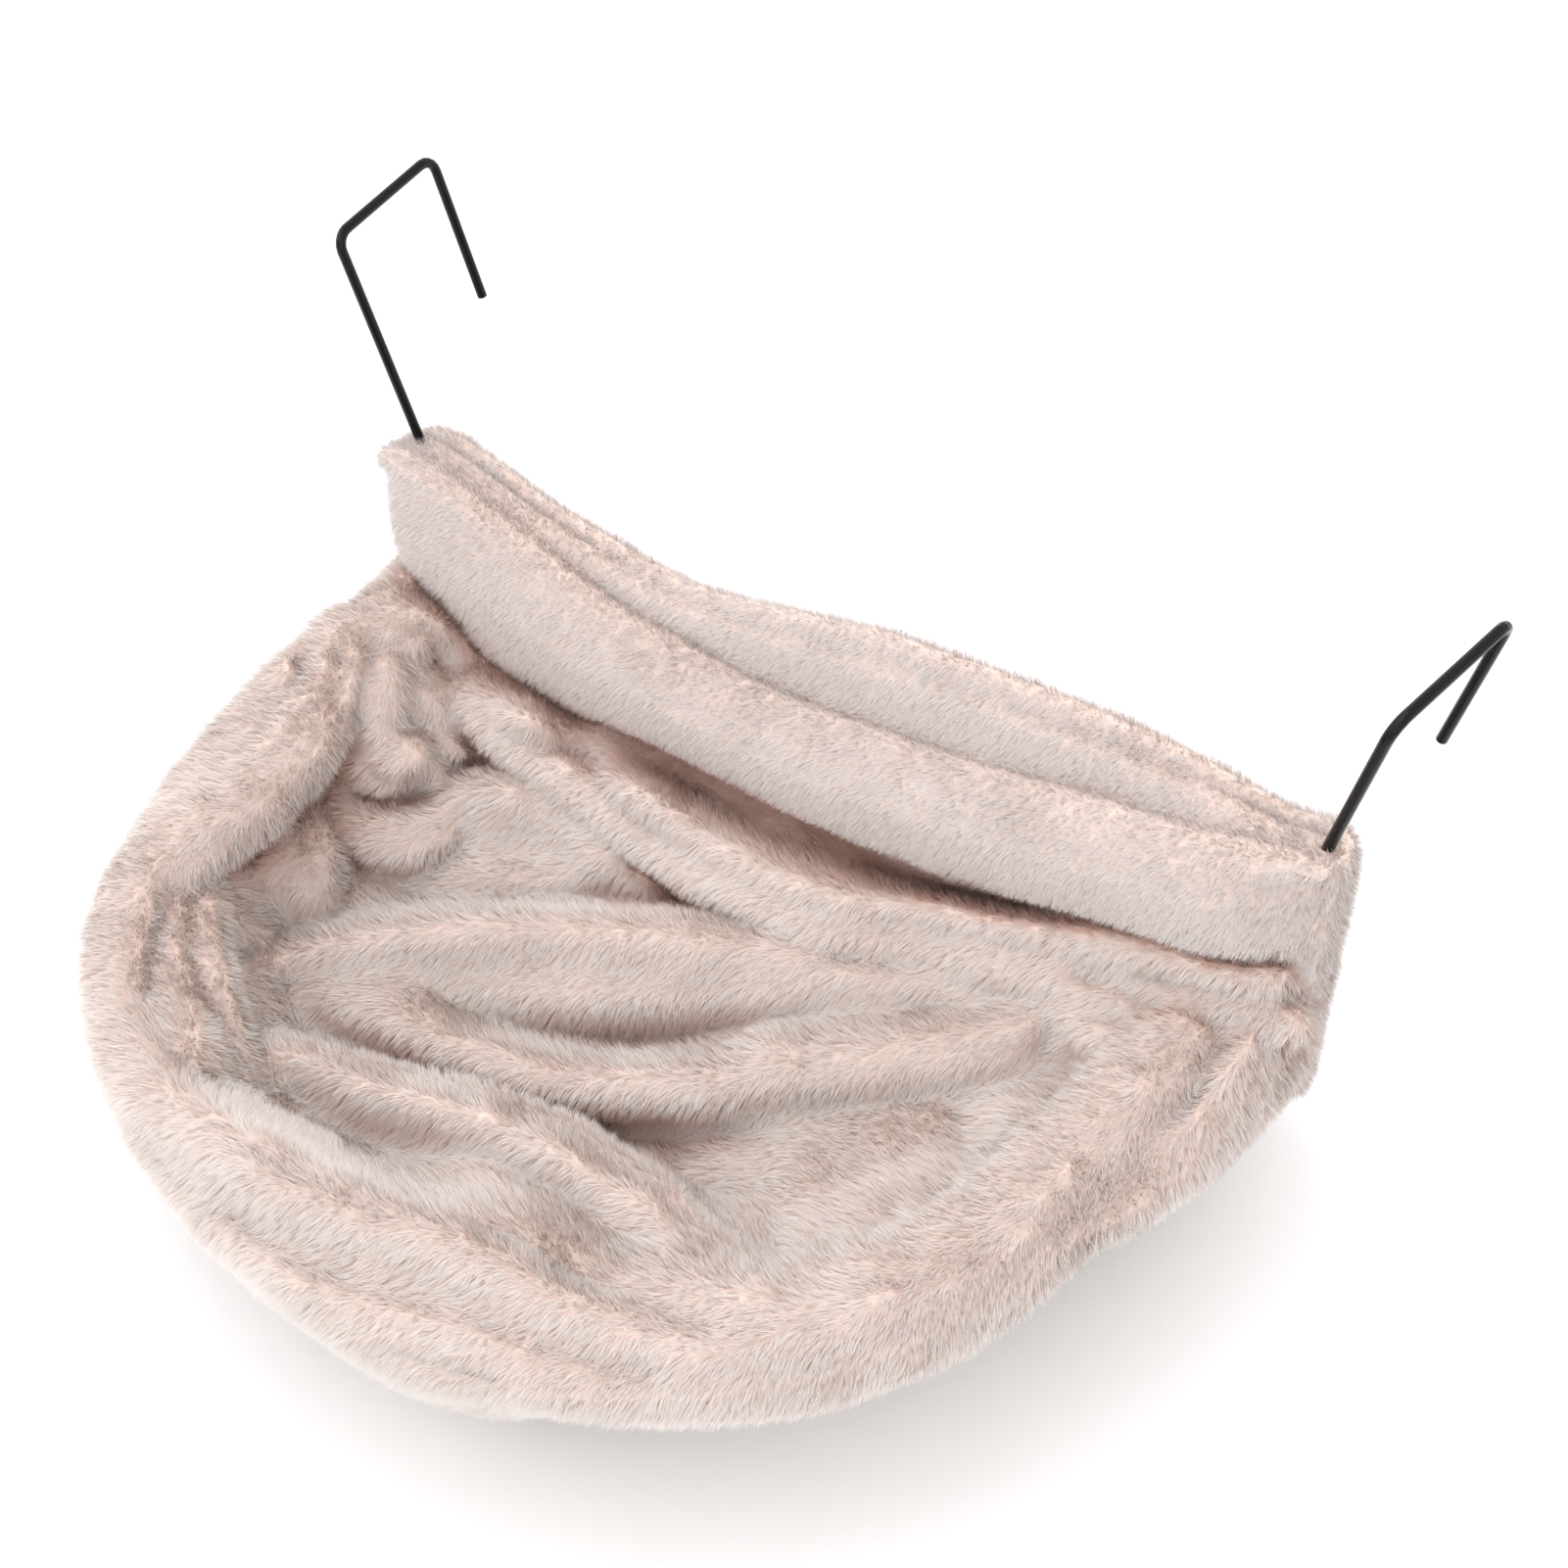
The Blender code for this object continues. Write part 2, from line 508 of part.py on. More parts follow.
def make_bag(material, collection):
    """The outer bag: an open bowl of plush that hangs from the rim and the pocket."""
    hug = RIM_RADIUS + CLEARANCE + BAG_WALL
    top_ring = []
    for x, y in bag_outline(lambda share: hug):
        beside = np.clip((y + POCKET_FRONT + BAG_SWELL) / BAG_SWELL, 0, 1)
        behind = np.clip((y + BAG_CORNER) / BAG_CORNER * 2, 0, 1)
        side_top = cover_height(HEM_SHARES, x) - CLEARANCE * 3 - HOOP_Z
        top = side_top * beside * (1 - behind) - behind * BAG_DEPTH * BAG_BACK_SHARE
        top_ring.append((x, y, HOOP_Z + top))
    rings = [top_ring]
    back = max(y for x, y, z in top_ring)
    for drop, shares in BAG_WALL_SHARES:
        outline = bag_outline(lambda share: BAG_SWELL * float(np.interp(share, BAG_PLACES, shares)))
        lower = max(drop, BAG_BACK_SHARE + drop * (1 - BAG_BACK_SHARE))
        ring = []
        for x, y in outline:
            behind = np.clip((y + BAG_CORNER) / BAG_CORNER * 2, 0, 1)
            fall = drop + (lower - drop) * behind
            ring.append((x, y, HOOP_Z - fall * BAG_DEPTH))
        rings.append(ring)
    middle_y = -ARM_LENGTH
    for scale, drop in BAG_RING_SHARES:
        ring = []
        for x, y in outline:
            deep = middle_y + (y - middle_y) * scale
            ring.append((x * scale, min(deep, back), HOOP_Z - drop * BAG_DEPTH))
        rings.append(ring)
    bm = bmesh.new()
    skin = [[bm.verts.new(point) for point in ring] for ring in rings]
    for upper, lower in zip(skin, skin[1:]):
        for a in range(len(upper)):
            b = (a + 1) % len(upper)
            bm.faces.new((upper[a], lower[a], lower[b], upper[b]))
    middle = bm.verts.new((0, middle_y, HOOP_Z - BAG_DEPTH))
    for a in range(len(skin[-1])):
        bm.faces.new((skin[-1][a], middle, skin[-1][(a + 1) % len(skin[-1])]))
    obj = mesh_object("outer_bag", bm, material, collection)
    wall = obj.modifiers.new("Wall", "SOLIDIFY")
    wall.thickness = BAG_WALL
    wall.offset = -1
    wall.use_even_offset = True
    return obj


def fit_floor(inner):
    """A smooth height over the plan, through the floor's points and up to the rim all round."""
    known = []
    for line in FLOOR_SHARES.values():
        known += [(a * HOOP_RADIUS, -b * HOOP_DEPTH, c * BAG_DEPTH) for a, b, c in line]
    for step in range(EDGE_PLACES + 1):
        angle = math.pi * step / EDGE_PLACES
        known.append((-inner * math.cos(angle), -ARM_LENGTH - inner * math.sin(angle), 0))
    known += [(side * inner, -ARM_LENGTH / 2, 0) for side in (-1, 1)]
    known = np.array(known)
    rounding = FLOOR_ROUND_SHARE * HOOP_RADIUS

    def spread(x, y):
        return np.sqrt((x - known[:, 0]) ** 2 + (y - known[:, 1]) ** 2 + rounding**2)

    system = np.array([spread(x, y) for x, y, z in known])
    system -= np.eye(len(known)) * FLOOR_EASE_SHARE * HOOP_RADIUS
    weights = np.linalg.solve(system, known[:, 2])
    return lambda x, y: HOOP_Z + float(spread(x, y) @ weights)


def with_folds(x, y, floor):
    """The floor's height at a place in plan, raised by the folds that run past it."""
    total = 0.0
    for route, width in FOLD_SHARES.values():
        half = width * HOOP_RADIUS
        points = [(a * HOOP_RADIUS, -b * HOOP_DEPTH, HOOP_Z + c * BAG_DEPTH) for a, b, c in route]
        lift = 0.0
        for first, second in zip(points, points[1:]):
            along = np.subtract(second[:2], first[:2])
            share = np.clip(np.dot(np.subtract((x, y), first[:2]), along) / np.dot(along, along), 0, 1)
            near = np.array(first) + share * np.subtract(second, first)
            away = math.hypot(x - near[0], y - near[1])
            lift = max(lift, (near[2] - floor) * math.exp(-((away / half) ** 2)))
        total += lift**FOLD_BLEND
    return floor + total ** (1 / FOLD_BLEND)


def lining_height(x, y, inner, slack):
    """The lining's top: its folds and hollows, drawn up to the rim and to the band."""
    out = math.hypot(x, min(y + ARM_LENGTH, 0)) / inner
    height = with_folds(x, y, max(slack(x, y), HOOP_Z - FLOOR_LIMIT_SHARE * BAG_DEPTH))
    edge = np.clip((out - EDGE_BLEND_SHARE) / (1 - EDGE_BLEND_SHARE), 0, 1)
    height = height + (HOOP_Z - height) * edge
    under_band = np.clip((y + BAND_SWELL + RIM_RADIUS) / RIM_RADIUS, 0, 1)
    hem = cover_height(HEM_SHARES, x) - WIRE_RADIUS
    height += (min(height, hem) - height) * under_band
    rise = np.clip(1 - (-y - POCKET_HALF - WIRE_DIAMETER) / REAR_RISE, 0, 1)
    return height + (hem - height) * rise**2


def make_lining(material, collection):
    """The inner plush, slack in the bag, with the folds that it lies in."""
    inner = (HOOP_RADIUS - RIM_RADIUS) * math.cos(math.pi / (2 * BOW_STEPS)) - CLEARANCE
    slack = fit_floor(inner)
    rear = -(POCKET_HALF + WIRE_DIAMETER)
    pitch = (ARM_LENGTH + rear) / LINING_ARM_ROWS
    rows = [(rear - pitch * step, inner) for step in range(LINING_ARM_ROWS)]
    for step in range(LINING_FRONT_ROWS + 1):
        angle = math.pi / 2 * LINING_TIP_SHARE * step / LINING_FRONT_ROWS
        rows.append((-ARM_LENGTH - inner * math.sin(angle), inner * math.cos(angle)))
    bm = bmesh.new()
    grid = []
    for y, half in rows:
        line = []
        for column in range(LINING_COLUMNS + 1):
            x = half * (2 * column / LINING_COLUMNS - 1)
            line.append(bm.verts.new((x, y, lining_height(x, y, inner, slack))))
        grid.append(line)
    # The diagonals run along the folds.
    for first, second in zip(grid, grid[1:]):
        for a in range(LINING_COLUMNS):
            bm.faces.new((first[a + 1], second[a + 1], second[a]))
            bm.faces.new((first[a + 1], second[a], first[a]))
    rim = grid[0] + [line[-1] for line in grid[1:]]
    rim += grid[-1][-2::-1] + [line[0] for line in grid[-2:0:-1]]
    upper = rim
    for scale, drop in LINING_RING_SHARES:
        z = HOOP_Z - drop * BAG_DEPTH
        lower = []
        for vert in rim:
            forward = (vert.co.y + ARM_LENGTH) * scale
            lower.append(bm.verts.new((vert.co.x * scale, forward - ARM_LENGTH, z)))
        for a in range(len(rim)):
            b = (a + 1) % len(rim)
            bm.faces.new((upper[a], upper[b], lower[b], lower[a]))
        upper = lower
    middle = bm.verts.new((0, -ARM_LENGTH, HOOP_Z - LINING_RING_SHARES[-1][1] * BAG_DEPTH))
    for a in range(len(rim)):
        bm.faces.new((upper[a], upper[(a + 1) % len(rim)], middle))
    bmesh.ops.recalc_face_normals(bm, faces=bm.faces)
    return mesh_object("lining", bm, material, collection)


def cover_places():
    """Section places along the pocket, with a pair at each side of its hollow."""
    places = list(np.linspace(-COVER_HALF_WIDTH, COVER_HALF_WIDTH, COVER_SECTIONS))
    closed = POCKET_SIDE + POCKET_HALF
    places += [-POCKET_SIDE, POCKET_SIDE, -closed, closed]
    return sorted(places)


def hollow(x):
    """How far a layer stands off the pocket's middle plane below its top seam."""
    closed = np.clip((abs(x) - POCKET_SIDE) / POCKET_HALF, 0, 1)
    return POCKET_HALF + (CLEARANCE / 2 - POCKET_HALF) * closed


def make_back_band(material, collection, cutters):
    """The pocket's front layer, a broad soft band that hangs in front of the rail."""
    rings = []
    for x in cover_places():
        crest, seam = cover_height(CREST_SHARES, x), cover_height(SEAM_SHARES, x)
        crease, hem = cover_height(CREASE_SHARES, x), cover_height(HEM_SHARES, x)
        round_end = math.sqrt(max(1 - (x / COVER_HALF_WIDTH) ** BAND_END_POWER, 0))
        swell = BAND_SWELL * (BAND_END_SHARE + (1 - BAND_END_SHARE) * round_end)
        away = hollow(x)
        ring = [(x, -CLEARANCE / 2, seam)]
        for forward, down in BAND_CROWN_SHARES:
            ring.append((x, -swell * forward, crest + (crease - crest) * down))
        ring.append((x, -swell * BAND_TUCK_SHARE, crease))
        for forward, down in BAND_LOWER_SHARES:
            ring.append((x, -swell * forward, crease + (hem - crease) * down))
        ring.append((x, -away - WIRE_DIAMETER / 2, hem))
        ring.append((x, -away, hem + WIRE_DIAMETER / 2))
        ring.append((x, -away, seam - COVER_RISE * LAYER_OPEN_SHARE))
        ring.append((x, -CLEARANCE / 2, seam - COVER_RISE * LAYER_MEET_SHARE))
        rings.append(ring)
    obj = mesh_object("back_band", loft(rings), material, collection)
    combine(obj, leg_cutters("band", cutters, material), "DIFFERENCE")
    return obj


def leg_cutters(name, cutters, material):
    """Round bars that leave room for the hook legs through the pocket's top seam."""
    bars = []
    for word, side in (("left", -1), ("right", 1)):
        foot = Vector((side * HOOP_RADIUS, 0, HOOP_Z))
        top = foot + leg_axis(side) * LEG_HOLE_HEIGHT
        bars.append(cylinder(WIRE_BORE, foot, top, f"{name}_{word}_leg", cutters, material, 12))
    return bars


def make_back_panel(material, collection, cutters):
    """The pocket's rear layer: two long folds at the top, and a flat back against the radiator."""
    rings = []
    for x in cover_places():
        seam = cover_height(SEAM_SHARES, x)
        away = hollow(x)
        below = HOOP_Z - COVER_RISE * PANEL_STEP_SHARE
        inwards = np.clip((abs(x) - COVER_HALF_WIDTH + PANEL_CORNER) / PANEL_CORNER, 0, 1)
        foot = HOOP_Z - PANEL_DROP + PANEL_CORNER * (1 - math.sqrt(1 - inwards**2))
        ring = [(x, CLEARANCE / 2, seam)]
        for back, rise in PANEL_FOLD_SHARES:
            ring.append((x, PANEL_BACK * back, seam + PANEL_BACK * rise))
        ring.append((x, PANEL_BACK, seam - PANEL_EDGE))
        ring.append((x, PANEL_BACK, foot + PANEL_EDGE))
        ring.append((x, PANEL_BACK - PANEL_EDGE, foot))
        ring.append((x, PANEL_THIN, foot + PANEL_EDGE / 2))
        ring.append((x, PANEL_THIN, below))
        ring.append((x, away, below + PANEL_EDGE))
        ring.append((x, away, seam - COVER_RISE * LAYER_OPEN_SHARE))
        ring.append((x, CLEARANCE / 2, seam - COVER_RISE * LAYER_MEET_SHARE))
        rings.append(ring)
    obj = mesh_object("back_panel", loft(rings), material, collection)
    combine(obj, leg_cutters("panel", cutters, material), "DIFFERENCE")
    return obj


def make_tape(name, front, material, collection):
    """One half of the hook-and-loop fastening that closes the pocket behind the bag."""
    bm = bmesh.new()
    bmesh.ops.create_cube(bm, size=1)
    bmesh.ops.scale(bm, verts=bm.verts, vec=(HOOP_WIDTH * TAPE_WIDTH_SHARE, TAPE_THICKNESS, TAPE_HEIGHT))
    place = Matrix.Translation((0, front + TAPE_THICKNESS / 2, HOOP_Z - TAPE_DROP))
    return mesh_object(name, bm, material, collection, place)


def main():
    remove_everything()
    bed = new_collection("radiator_cat_bed")
    cutters = new_collection("cutters")
    cutters.hide_render = True
    paint = surface("black_painted_steel", (0.012, 0.012, 0.013), 0.22)
    nylon = surface("black_nylon", (0.02, 0.02, 0.02), 0.5)
    zinc = surface("zinc_plated_steel", (0.6, 0.6, 0.6), 0.35, 1.0)
    outside = surface("plush_outside", PLUSH_OUTSIDE, 0.9)
    inside = surface("plush_inside", PLUSH, 0.9)
    tape = surface("fastening_tape", (0.75, 0.68, 0.62), 0.85)
    for word, side in (("left", -1), ("right", 1)):
        make_hook(f"{word}_hook", side, paint, bed)
        make_leg_cap(f"{word}_leg_cap", side, zinc, bed)
        make_connector(f"{word}_corner_connector", side, nylon, bed, cutters)
    make_rail(paint, bed)
    make_hoop(paint, bed)
    make_rim_sleeve(outside, bed)
    make_bag(outside, bed)
    make_lining(inside, bed)
    make_back_band(outside, bed, cutters)
    make_back_panel(outside, bed, cutters)
    loop_front = PANEL_THIN - TAPE_THICKNESS * 2 - CLEARANCE * 2
    make_tape("loop_tape", loop_front, tape, bed)
    make_tape("hook_tape", loop_front + TAPE_THICKNESS + CLEARANCE, tape, bed)


main()
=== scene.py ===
import json
import math

import bpy
import numpy as np
from mathutils import Matrix, Vector, kdtree
from mathutils.bvhtree import BVHTree

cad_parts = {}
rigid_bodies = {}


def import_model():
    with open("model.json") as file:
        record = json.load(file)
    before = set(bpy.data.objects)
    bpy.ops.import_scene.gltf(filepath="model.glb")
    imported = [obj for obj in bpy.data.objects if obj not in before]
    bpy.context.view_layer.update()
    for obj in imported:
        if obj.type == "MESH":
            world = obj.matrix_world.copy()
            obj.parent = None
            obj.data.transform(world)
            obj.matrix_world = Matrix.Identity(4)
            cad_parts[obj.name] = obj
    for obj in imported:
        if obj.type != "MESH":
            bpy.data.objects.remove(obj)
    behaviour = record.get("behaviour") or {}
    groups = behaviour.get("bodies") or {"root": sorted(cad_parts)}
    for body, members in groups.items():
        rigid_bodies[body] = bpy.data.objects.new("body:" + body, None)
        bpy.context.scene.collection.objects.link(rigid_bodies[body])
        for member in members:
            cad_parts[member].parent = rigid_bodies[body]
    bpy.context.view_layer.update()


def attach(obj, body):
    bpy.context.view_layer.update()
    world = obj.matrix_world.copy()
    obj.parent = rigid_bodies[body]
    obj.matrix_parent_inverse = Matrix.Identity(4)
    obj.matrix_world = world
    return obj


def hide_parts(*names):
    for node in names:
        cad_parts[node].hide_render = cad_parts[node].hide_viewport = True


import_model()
print("frame loaded")

mm = 0.001
metre = 1000  # mm


def deselectAll():
    for item in bpy.context.scene.objects:
        item.select_set(False)


def toLinear(hexColour):
    # sRGB hex to the linear colour that the shaders want
    channels = [int(hexColour[i : i + 2], 16) / 255 for i in (1, 3, 5)]
    return tuple(c / 12.92 if c <= 0.04045 else ((c + 0.055) / 1.055) ** 2.4 for c in channels) + (1.0,)


def addNode(tree, kind, settings=None, values=None, links=None):
    # one node with its settings, its input values and its links
    node = tree.nodes.new(kind)
    for name, value in (settings or {}).items():
        setattr(node, name, value)
    for socket, value in (values or {}).items():
        node.inputs[socket].default_value = value
    for socket, source in (links or {}).items():
        tree.links.new(source, node.inputs[socket])
    return node


def meshObject(name, points, faces):
    mesh = bpy.data.meshes.new(name)
    mesh.from_pydata([tuple(p) for p in points], [], faces)
    mesh.validate()
    item = bpy.data.objects.new(name, mesh)
    bpy.context.scene.collection.objects.link(item)
    return item


def faceOutwards(item, triangles=False):
    # turns all faces outwards, cut into triangles first where that is asked for
    deselectAll()
    item.select_set(True)
    bpy.context.view_layer.objects.active = item
    bpy.ops.object.mode_set(mode="EDIT")
    bpy.ops.mesh.select_all(action="SELECT")
    if triangles:
        bpy.ops.mesh.quads_convert_to_tris()
    bpy.ops.mesh.normals_make_consistent(inside=False)
    bpy.ops.object.mode_set(mode="OBJECT")


def loftFaces(ringCount, ringSize):
    # closed rings one after another, and a cap on each end
    faces = []
    for r in range(ringCount - 1):
        for k in range(ringSize):
            a = r * ringSize + k
            b = r * ringSize + (k + 1) % ringSize
            faces.append((a, b, b + ringSize, a + ringSize))
    faces.append(tuple(reversed(range(ringSize))))
    faces.append(tuple((ringCount - 1) * ringSize + k for k in range(ringSize)))
    return faces


def readTable(table, at):
    # smooth reading between the rows of a table of (place, value)
    places = [row[0] for row in table]
    values = [row[1] for row in table]
    if at <= places[0]:
        return values[0]
    if at >= places[-1]:
        return values[-1]
    k = max(i for i in range(len(places) - 1) if places[i] <= at)
    t = (at - places[k]) / (places[k + 1] - places[k])
    before = values[k - 1] if k else values[k]
    after = values[k + 2] if k + 2 < len(values) else values[k + 1]
    a, b = values[k], values[k + 1]
    return 0.5 * (2 * a + (b - before) * t + (2 * before - 5 * a + 4 * b - after) * t * t
                  + (3 * a - before - 3 * b + after) * t * t * t)


def smoothPath(points, step):
    # even points about one step apart on a smooth line through the given ones
    points = [np.array(p, float) for p in points]
    gaps = [0.0]
    for a, b in zip(points, points[1:]):
        gaps.append(gaps[-1] + float(np.linalg.norm((b - a)[:3])))
    count = max(4, int(gaps[-1] / step))
    columns = [[(gaps[i], float(p[c])) for i, p in enumerate(points)] for c in range(len(points[0]))]
    return [[readTable(column, gaps[-1] * k / count) for column in columns] for k in range(count + 1)]


def fuse(name, items, settings):
    # overlapping closed bodies become one skin, as the plush runs over all of them
    deselectAll()
    for item in items:
        item.select_set(True)
    bpy.context.view_layer.objects.active = items[0]
    if len(items) > 1:
        bpy.ops.object.join()
    skin = bpy.context.view_layer.objects.active
    skin.name = skin.data.name = name
    remesh = skin.modifiers.new("fuse", "REMESH")
    remesh.mode = "VOXEL"
    remesh.voxel_size = settings["voxel"] * mm
    bpy.ops.object.modifier_apply(modifier=remesh.name)
    smooth = skin.modifiers.new("soften", "SMOOTH")
    smooth.factor = settings["softenFactor"]
    smooth.iterations = settings["soften"]
    bpy.ops.object.modifier_apply(modifier=smooth.name)
    print(name, len(skin.data.polygons), "faces")
    return skin


def readSkin(skin):
    # places in mm and normals of all the skin's points
    count = len(skin.data.vertices)
    points, normals = np.empty(count * 3), np.empty(count * 3)
    skin.data.vertices.foreach_get("co", points)
    skin.data.vertex_normals.foreach_get("vector", normals)
    return points.reshape(-1, 3) * metre, normals.reshape(-1, 3)


# the camera stands where the photograph's camera stood, found from the hooks and the rim
camera = {
    "place": (0.40345, -0.47296, 0.52172),
    "right": (0.78506283, 0.61643939, -0.06065334),
    "down": (0.43343750, -0.61666186, -0.65716063),
    "forward": (-0.44250230, 0.48962295, -0.75130625),
    "lens": 50,
    "sensor": 36,
}
studio = {
    "floorHeight": -0.262,
    "floorHalf": 3.0,
    "floorColour": "#fbfbfb",
    "floorRoughness": 0.9,
    "worldColour": "#ffffff",
    "worldStrength": 1.2,
    "lampAim": (0, -0.12, -0.18),
    "lamps": [
        # name, place, size, watts
        ("keyLamp", (-0.35, 0.15, 1.5), 1.1, 6),
        ("fillLamp", (1.2, -1.2, 1.1), 1.6, 4),
        ("sideLamp", (-1.2, -0.8, 0.9), 1.2, 6),
    ],
}


def makeCamera():
    cameraData = bpy.data.cameras.new("camera")
    cameraData.lens = camera["lens"]
    cameraData.sensor_width = camera["sensor"]
    item = bpy.data.objects.new("camera", cameraData)
    bpy.context.scene.collection.objects.link(item)
    axes = (camera["right"], [-c for c in camera["down"]], [-c for c in camera["forward"]])
    item.matrix_world = Matrix.Translation(camera["place"]) @ Matrix(axes).transposed().to_4x4()
    bpy.context.scene.camera = item


def makeStudio():
    h, z = studio["floorHalf"], studio["floorHeight"]
    floor = meshObject("studioFloor", [(-h, -h, z), (h, -h, z), (h, h, z), (-h, h, z)], [(0, 1, 2, 3)])
    # matt white backdrop paper
    paper = bpy.data.materials.new("studioPaper")
    paper.use_nodes = True
    shader = paper.node_tree.nodes["Principled BSDF"]
    shader.inputs["Base Color"].default_value = toLinear(studio["floorColour"])
    shader.inputs["Roughness"].default_value = studio["floorRoughness"]
    floor.data.materials.append(paper)
    world = bpy.data.worlds.new("studioWorld")
    world.use_nodes = True
    background = world.node_tree.nodes["Background"]
    background.inputs["Color"].default_value = toLinear(studio["worldColour"])
    background.inputs["Strength"].default_value = studio["worldStrength"]
    bpy.context.scene.world = world
    for name, place, size, watts in studio["lamps"]:
        lampData = bpy.data.lights.new(name, "AREA")
        lampData.energy = watts
        lampData.size = size
        lamp = bpy.data.objects.new(name, lampData)
        bpy.context.scene.collection.objects.link(lamp)
        lamp.location = place
        lamp.rotation_euler = (Vector(studio["lampAim"]) - lamp.location).to_track_quat("-Z", "Y").to_euler()
    bpy.context.scene.view_settings.view_transform = "Standard"


makeCamera()
makeStudio()
print("studio ready")

# the wire hoop that carries the cover: an open U with straight arms and a half-round front, mm
hoop = {
    "halfWidth": 210.0,
    "armLength": 95.0,
    "leftArmColumns": (19, 57),  # table columns, from the left arm's rear end
    "frontColumnStep": 15,  # degrees between the table columns round the front
    "rightArmColumns": (38, 76),  # from the right arm's front end
}
armLength = hoop["armLength"]
frontLength = math.pi * hoop["halfWidth"]
hoopLength = 2 * armLength + frontLength

# lengths along the hoop from the left arm's rear end round to the right arm's rear end
tableColumns = (
    list(hoop["leftArmColumns"])
    + [armLength + math.radians(t) * hoop["halfWidth"] for t in range(0, 181, hoop["frontColumnStep"])]
    + [armLength + frontLength + column for column in hoop["rightArmColumns"]]
)


def hoopPoint(along):
    # place on the hoop's centre line and the way out from it, in plan
    r = hoop["halfWidth"]
    if along < armLength:
        return (-r, -along), (-1.0, 0.0)
    if along > armLength + frontLength:
        return (r, along - armLength - frontLength - armLength), (1.0, 0.0)
    a = (along - armLength) / r
    return (-r * math.cos(a), -armLength - r * math.sin(a)), (-math.cos(a), -math.sin(a))


